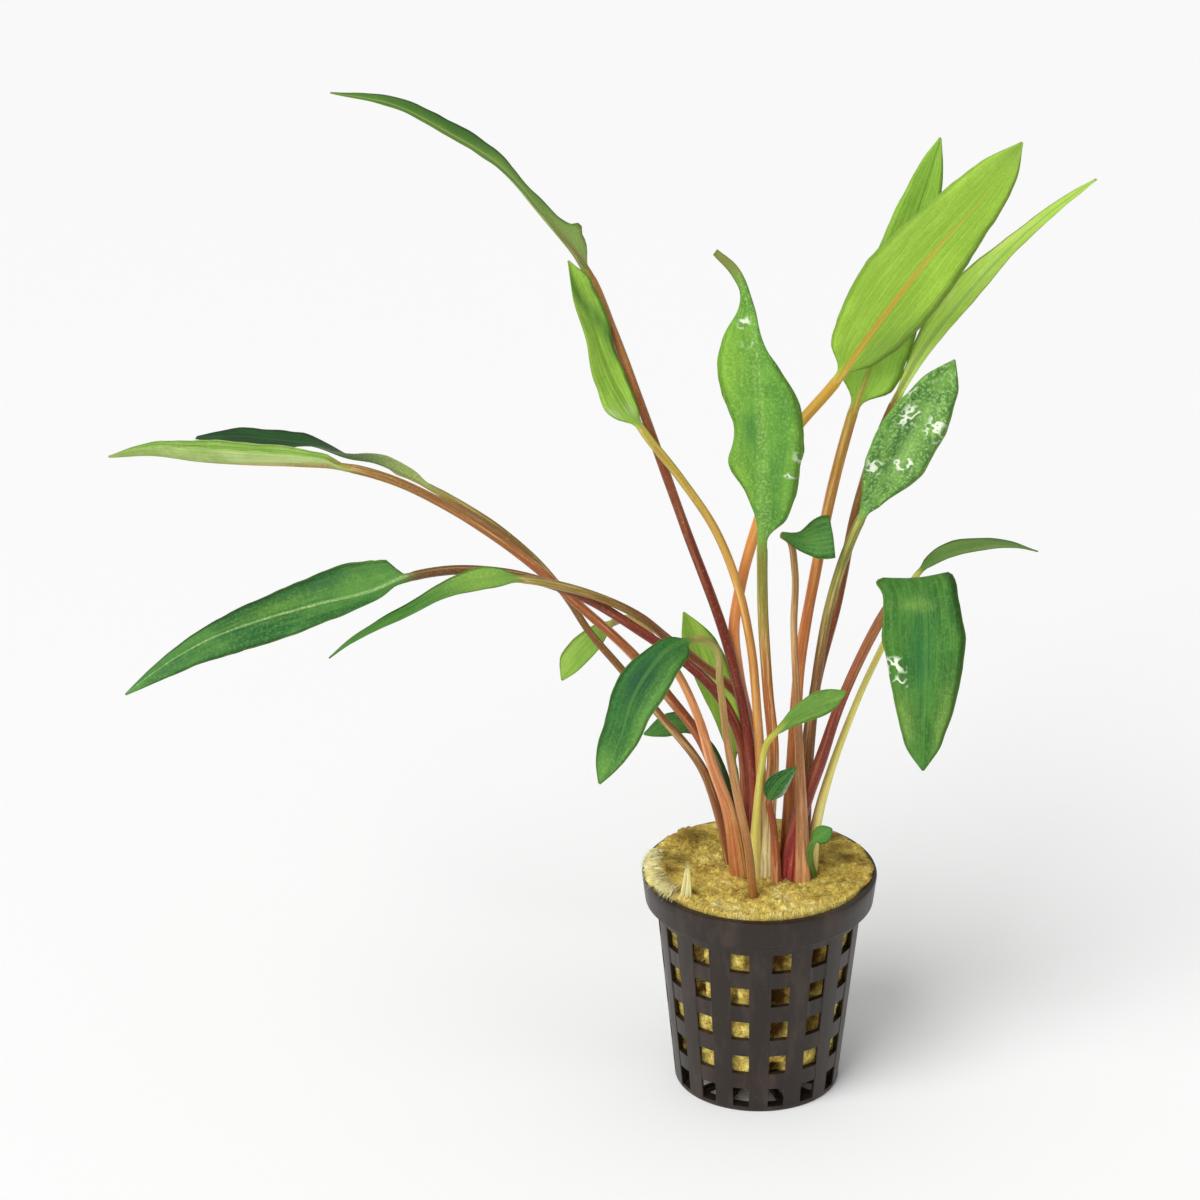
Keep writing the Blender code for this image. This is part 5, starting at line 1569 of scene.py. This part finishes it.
levels = [(foot_point, (step + 0.5) / FOOT_RINGS) for step in range(FOOT_RINGS)]
side_height = EDGE_HEIGHT - WOOL_FOOT
levels += [(side_point, WOOL_FOOT + side_height * step / SIDE_STEPS) for step in range(SIDE_STEPS + 1)]
levels += [(top_point, 1 - step / TOP_STEPS) for step in range(1, TOP_STEPS)]
build = bmesh.new()
stain_layer = build.verts.layers.float.new("wool_damp_and_shade")
rings = []
for point_at, level in levels:
    ring = []
    for i in range(WOOL_TURNS):
        point, stain = point_at(level, 360.0 * i / WOOL_TURNS)
        vert = build.verts.new(Vector(point) * MM)
        vert[stain_layer] = stain
        ring.append(vert)
    rings.append(ring)
join_rings(build, rings)
wool = new_piece("rock_wool_plug", mesh_of("rock_wool_plug", build))

# %% [markdown]
# ## Loose fibres
# Hair or particles would be the quick way to fibres, but they don't become a mesh that can be kept. Each
# fibre here is a closed tube of three sides along four points, in one mesh. A seeded random generator lays
# them, so that the plug is the same each time.

# %% Dice and directions
SEED = 11
dice = np.random.default_rng(SEED)


def around(reach):
    """A random number between -reach and reach."""
    return reach * (dice.random() * 2 - 1)


def level_way(turn):
    """The level direction at a turn, in radians."""
    return Vector((*on_circle(1.0, turn), 0))


print("first throw of the dice", round(np.random.default_rng(SEED).random(), 3))

# %% [markdown]
# ## One fibre
# A tube needs a direction at each of its points and two more that stand square to it. It gets thinner from
# point to point and ends in a tip. The points, faces and stains of all fibres are gathered in three lists.

# %% One fibre
SIDES = 3
POINTS_IN_FIBRE = 3 * SIDES + 1
THINS_BY = 0.22
fibre_points, fibre_faces, fibre_stains = [], [], []


def lay_fibre(path, thickness, stain):
    """A closed tube through four points that thins out to a tip."""
    first = len(fibre_points)
    for k, point in enumerate(path[:-1]):
        way = (path[k + 1] - path[max(0, k - 1)]).normalized()
        side = way.orthogonal().normalized()
        other = way.cross(side)
        radius = thickness * (1 - THINS_BY * k)
        for corner in range(SIDES):
            turn = math.tau * corner / SIDES
            spoke = side * radius * math.cos(turn), other * radius * math.sin(turn)
            fibre_points.append((point + spoke[0] + spoke[1]) * MM)
    fibre_points.append(path[-1] * MM)
    fibre_stains.extend([stain] * (len(fibre_points) - first))
    fibre_faces.append((first + 2, first + 1, first))
    for start in range(first, len(fibre_points) - 1 - SIDES, SIDES):
        for corner in range(SIDES):
            a, b = start + corner, start + (corner + 1) % SIDES
            fibre_faces.append((a, b, b + SIDES, a + SIDES))
    tip = len(fibre_points) - 1
    for corner in range(SIDES):
        fibre_faces.append((tip - SIDES + corner, tip - SIDES + (corner + 1) % SIDES, tip))


print("points in a fibre", POINTS_IN_FIBRE)

# %% [markdown]
# ## Fibres on top
# On top the fibres lie flat in every direction, slightly curled, with one end up. With both ends down the
# wool would look combed.

# %% Fibres on top
FIBRES_ON_TOP = 3600
LIFTS = (0.02, 0.2, 0.25)
INSIDE_RIM = TOP_RADIUS - 0.2

for _ in range(FIBRES_ON_TOP):
    radius = (TOP_RADIUS - 0.5) * math.sqrt(dice.random())
    root = Vector((*on_circle(radius, math.tau * dice.random()), 0))
    way = level_way(math.tau * dice.random())
    length = 1.2 + 2.6 * dice.random()
    painted_glint = way.cross(Vector((0, 0, 1))) * (dice.random() - 0.5) * 0.8
    path = []
    for k in range(4):
        spot = root + (way + painted_glint * (k / 3)) * length * (k / 3 - 0.5)
        reach = math.hypot(spot.x, spot.y)
        if reach > INSIDE_RIM:
            spot *= INSIDE_RIM / reach
        end_lift = 0.05 + 0.8 * dice.random() ** 2
        spot.z = wool_edge(spot.x, spot.y) + (*LIFTS, end_lift)[k]
        path.append(spot)
    thickness = 0.05 + 0.03 * dice.random()
    lay_fibre(path, thickness, wool_damp_and_shade(root.x, root.y, POT_HEIGHT) - 0.25 * dice.random())
print("fibres so far", len(fibre_stains) // POINTS_IN_FIBRE)

# %% [markdown]
# ## Fibres over the edge
# At the edge fibres hang over the cut, three quarters of them on the side that faces the camera, so that no
# hard line shows between wool and rim. They run outward and fall the more steeply the further out they are.

# %% Fibres over the edge
FIBRES_AT_EDGE = 1500
FRONT, FRONT_HALF_ANGLE, FRONT_SHARE = -90, 75, 0.75


def hanging_path(out, lean, reach, end, high, drop, bend, parts):
    """Points outward from reach to end, that fall from high by drop."""
    return [
        out * (reach + (end - reach) * part) + lean * part + Vector((0, 0, high - drop * part**bend))
        for part in parts
    ]


for _ in range(FIBRES_AT_EDGE):
    in_front = dice.random() < FRONT_SHARE
    angle = math.radians(FRONT + around(FRONT_HALF_ANGLE)) if in_front else math.tau * dice.random()
    out = level_way(angle)
    reach = INSIDE_RIM - 1.8 * dice.random()
    x, y = reach * out.x, reach * out.y
    drop = 1.4 + 1.8 * dice.random()
    lean = Vector((-out.y, out.x, 0)) * (dice.random() - 0.5) * 1.2
    high = wool_top(x, y) + 0.1
    path = hanging_path(out, lean, reach, TOP_RADIUS + 0.25, high, drop, 1.6, (0.0, 0.35, 0.7, 1.0))
    thickness = 0.05 + 0.04 * dice.random()
    lay_fibre(path, thickness, 0.5 * wool_damp_and_shade(x, y, POT_HEIGHT) - 0.5 * dice.random())
print("fibres so far", len(fibre_stains) // POINTS_IN_FIBRE)

# %% [markdown]
# ## Fibres behind the windows
# On the side the fibres follow the wall at any slant and stand out a little, but never through the pot.
# They could be left out, but through the windows they are what tells wool from putty.

# %% Fibres on the side
FIBRES_ON_SIDE = 2400
STANDS_OUT = (0.0, 0.12, 0.16, 0.1)

for _ in range(FIBRES_ON_SIDE):
    angle = 360 * dice.random()
    height = WOOL_FOOT + 0.5 + 34 * dice.random()
    radius, stain = wool_side(angle, height)
    slant = math.pi * dice.random()
    length = 1.5 + 2.5 * dice.random()
    path = []
    for k, out in enumerate(STANDS_OUT):
        far = length * (k / 3 - 0.5)
        turn = math.radians(angle + math.degrees(far * math.cos(slant) / radius))
        level = min(max(height + far * math.sin(slant), WOOL_FOOT), 45.5)
        reach = min(radius + out - 0.05, wall_radius(level) - POT_WALL - 0.1)
        path.append(Vector((*on_circle(reach, turn), level)))
    lay_fibre(path, 0.05 + 0.03 * dice.random(), stain)
print("fibres so far", len(fibre_stains) // POINTS_IN_FIBRE)

# %% [markdown]
# ## The tuft and the sliver
# The bleached tuft at the left is a thick sheaf of long fibres over the rim. A narrow sliver of
# straw-coloured wool stands up near the front left. It could be a small solid, but as a bundle of fibres it
# has frayed sides.

# %% Tuft and sliver
FIBRES_IN_TUFT, TUFT_MIDDLE, TUFT_HALF_ANGLE = 420, 190, 26
FIBRES_IN_SLIVER = 170
SLIVER_X, SLIVER_Y = -17.6, -16.2
SLIVER_TIP, SLIVER_HEIGHT = (-17.1, -14.4), 9.8

for _ in range(FIBRES_IN_TUFT):
    out = level_way(math.radians(TUFT_MIDDLE + around(TUFT_HALF_ANGLE)))
    reach = TOP_RADIUS - 2.5 * dice.random()
    end = RIM_RADIUS - 0.6 + 1.6 * dice.random() * tuft(out.x * 24, out.y * 24)
    lean = Vector((-out.y, out.x, 0)) * (dice.random() - 0.3) * 3.0
    high = POT_HEIGHT + 1.2 + 1.2 * dice.random()
    drop = 2.4 * dice.random()
    path = hanging_path(out, lean, reach, end, high, drop, 2.5, (0.0, 0.4, 0.75, 1.0))
    lay_fibre(path, 0.07 + 0.06 * dice.random(), -0.8 - 0.2 * dice.random())

for _ in range(FIBRES_IN_SLIVER):
    foot = Vector((SLIVER_X + around(1.5), SLIVER_Y + around(0.5), POT_HEIGHT - 0.5))
    tip = Vector((*SLIVER_TIP, POT_HEIGHT + SLIVER_HEIGHT - 7.0 * dice.random() ** 2))
    tip += Vector((foot.x - SLIVER_X, foot.y - SLIVER_Y, 0)) * 0.15
    bow = Vector((0.3 * (dice.random() - 0.5), -0.2, 0))
    path = [foot.lerp(tip, part) + bow * math.sin(math.pi * part) for part in (0.0, 0.35, 0.7, 1.0)]
    lay_fibre(path, 0.14 + 0.06 * dice.random(), -0.7 - 0.3 * dice.random())
print("fibres in all", len(fibre_stains) // POINTS_IN_FIBRE)

# %% [markdown]
# ## One mesh of fibres
# Thousands of objects would be slow to handle, so all fibres go into one mesh, with the stain of each,
# painted shade included, as an attribute.

# %% Fibre mesh
fibre_mesh = bpy.data.meshes.new("rock_wool_fibres")
fibre_mesh.from_pydata(fibre_points, [], fibre_faces)
fibres = new_piece("rock_wool_fibres", fibre_mesh)
fibre_mesh.attributes.new("wool_damp_and_shade", "FLOAT", "POINT").data.foreach_set("value", fibre_stains)

# %% [markdown]
# ## The finish of the wool
# Wet rock wool is yellow to olive, cream where it is dry and torn, and brown where the plant's roots have
# stained it; the brown is also painted shade in the pits, round the petioles' feet and in the hollows. The
# group mixes these by noise. Between its light threads it lays a darker tint, painted shade in the gaps of
# the felt and partly darker fibres. Both the plug and the loose fibres use it with their own values, because
# a single fibre, with less of that painted shade, is lighter than the felt below it.

# %% Group: matted wool
wool_group, given, result = new_group(
    "matted_wool",
    [("Position", "Vector", None), ("Stain", "Float", 0.0), ("Lightness", "Float", 0.0)],
    [("Colour", "Color"), ("Relief", "Float")],
)
patches = given["Position"].cloud(scale=330.0, detail=5.0, roughness=0.7)
threads = given["Position"].cloud(scale=1300.0, detail=4.0, roughness=0.8, distortion=1.4)
light = (threads.rise(0.38, 0.56) + given["Lightness"]).clamped()
felt = mix(patches.rise(0.40, 0.62), tint(230, 198, 96), tint(255, 238, 130))
# Where the light threads are few, a darker tint: painted shade in the gaps of the felt, partly darker
# fibres.
felt = mix(light, tint(168, 134, 50), felt)
dry = (given["Stain"] * -1.0).clamped()
felt = mix(dry, felt, tint(255, 238, 146))
felt = mix(dry.rise(0.55, 1.0), felt, tint(255, 248, 190))
# The brown of wet and root-stained wool, laid on also as painted shade in the pits, at the petioles' feet
# and in the hollows.
damp = (given["Stain"] * (0.75 + threads * 0.6)).clamped()
connect(result, {"Colour": mix(damp, felt, tint(98, 66, 26)), "Relief": threads})

# %% [markdown]
# ## Dressing the wool
# The plug and the fibres get a material each, and both stand for the one rock wool of the CAD model. With
# one shared material a single fibre would get as much painted gap shade as the felt and look as dull.

# %% Wool materials
# How much of the painted gap shade a single fibre is spared.
FIBRE_LIGHTNESS = 0.6


def wool_material(name, lightness):
    """The felt's finish, lighter for a single fibre than for the mass, with less painted gap shade."""
    material, tree, shader = new_material(name)
    where = put(tree, "TexCoord")["Object"]
    inputs = {"Position": where, "Stain": attribute(tree, "wool_damp_and_shade", "Fac"), "Lightness": lightness}
    felt = put(tree, "Group", inputs, node_tree=wool_group)
    connect(shader, {
        "Base Color": felt["Colour"],
        "Normal": felt["Relief"].bump(strength=0.8, depth=0.3),
        "Roughness": 0.9,
        "Specular IOR Level": 0.15,
    })
    return material


wool.data.materials.append(wool_material("felted_wool", 0.0))
fibres.data.materials.append(wool_material("single_fibres", FIBRE_LIGHTNESS))
for piece in (wool, fibres):
    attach(piece, "root")
    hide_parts("rock_wool")
print("materials in all", len(bpy.data.materials))
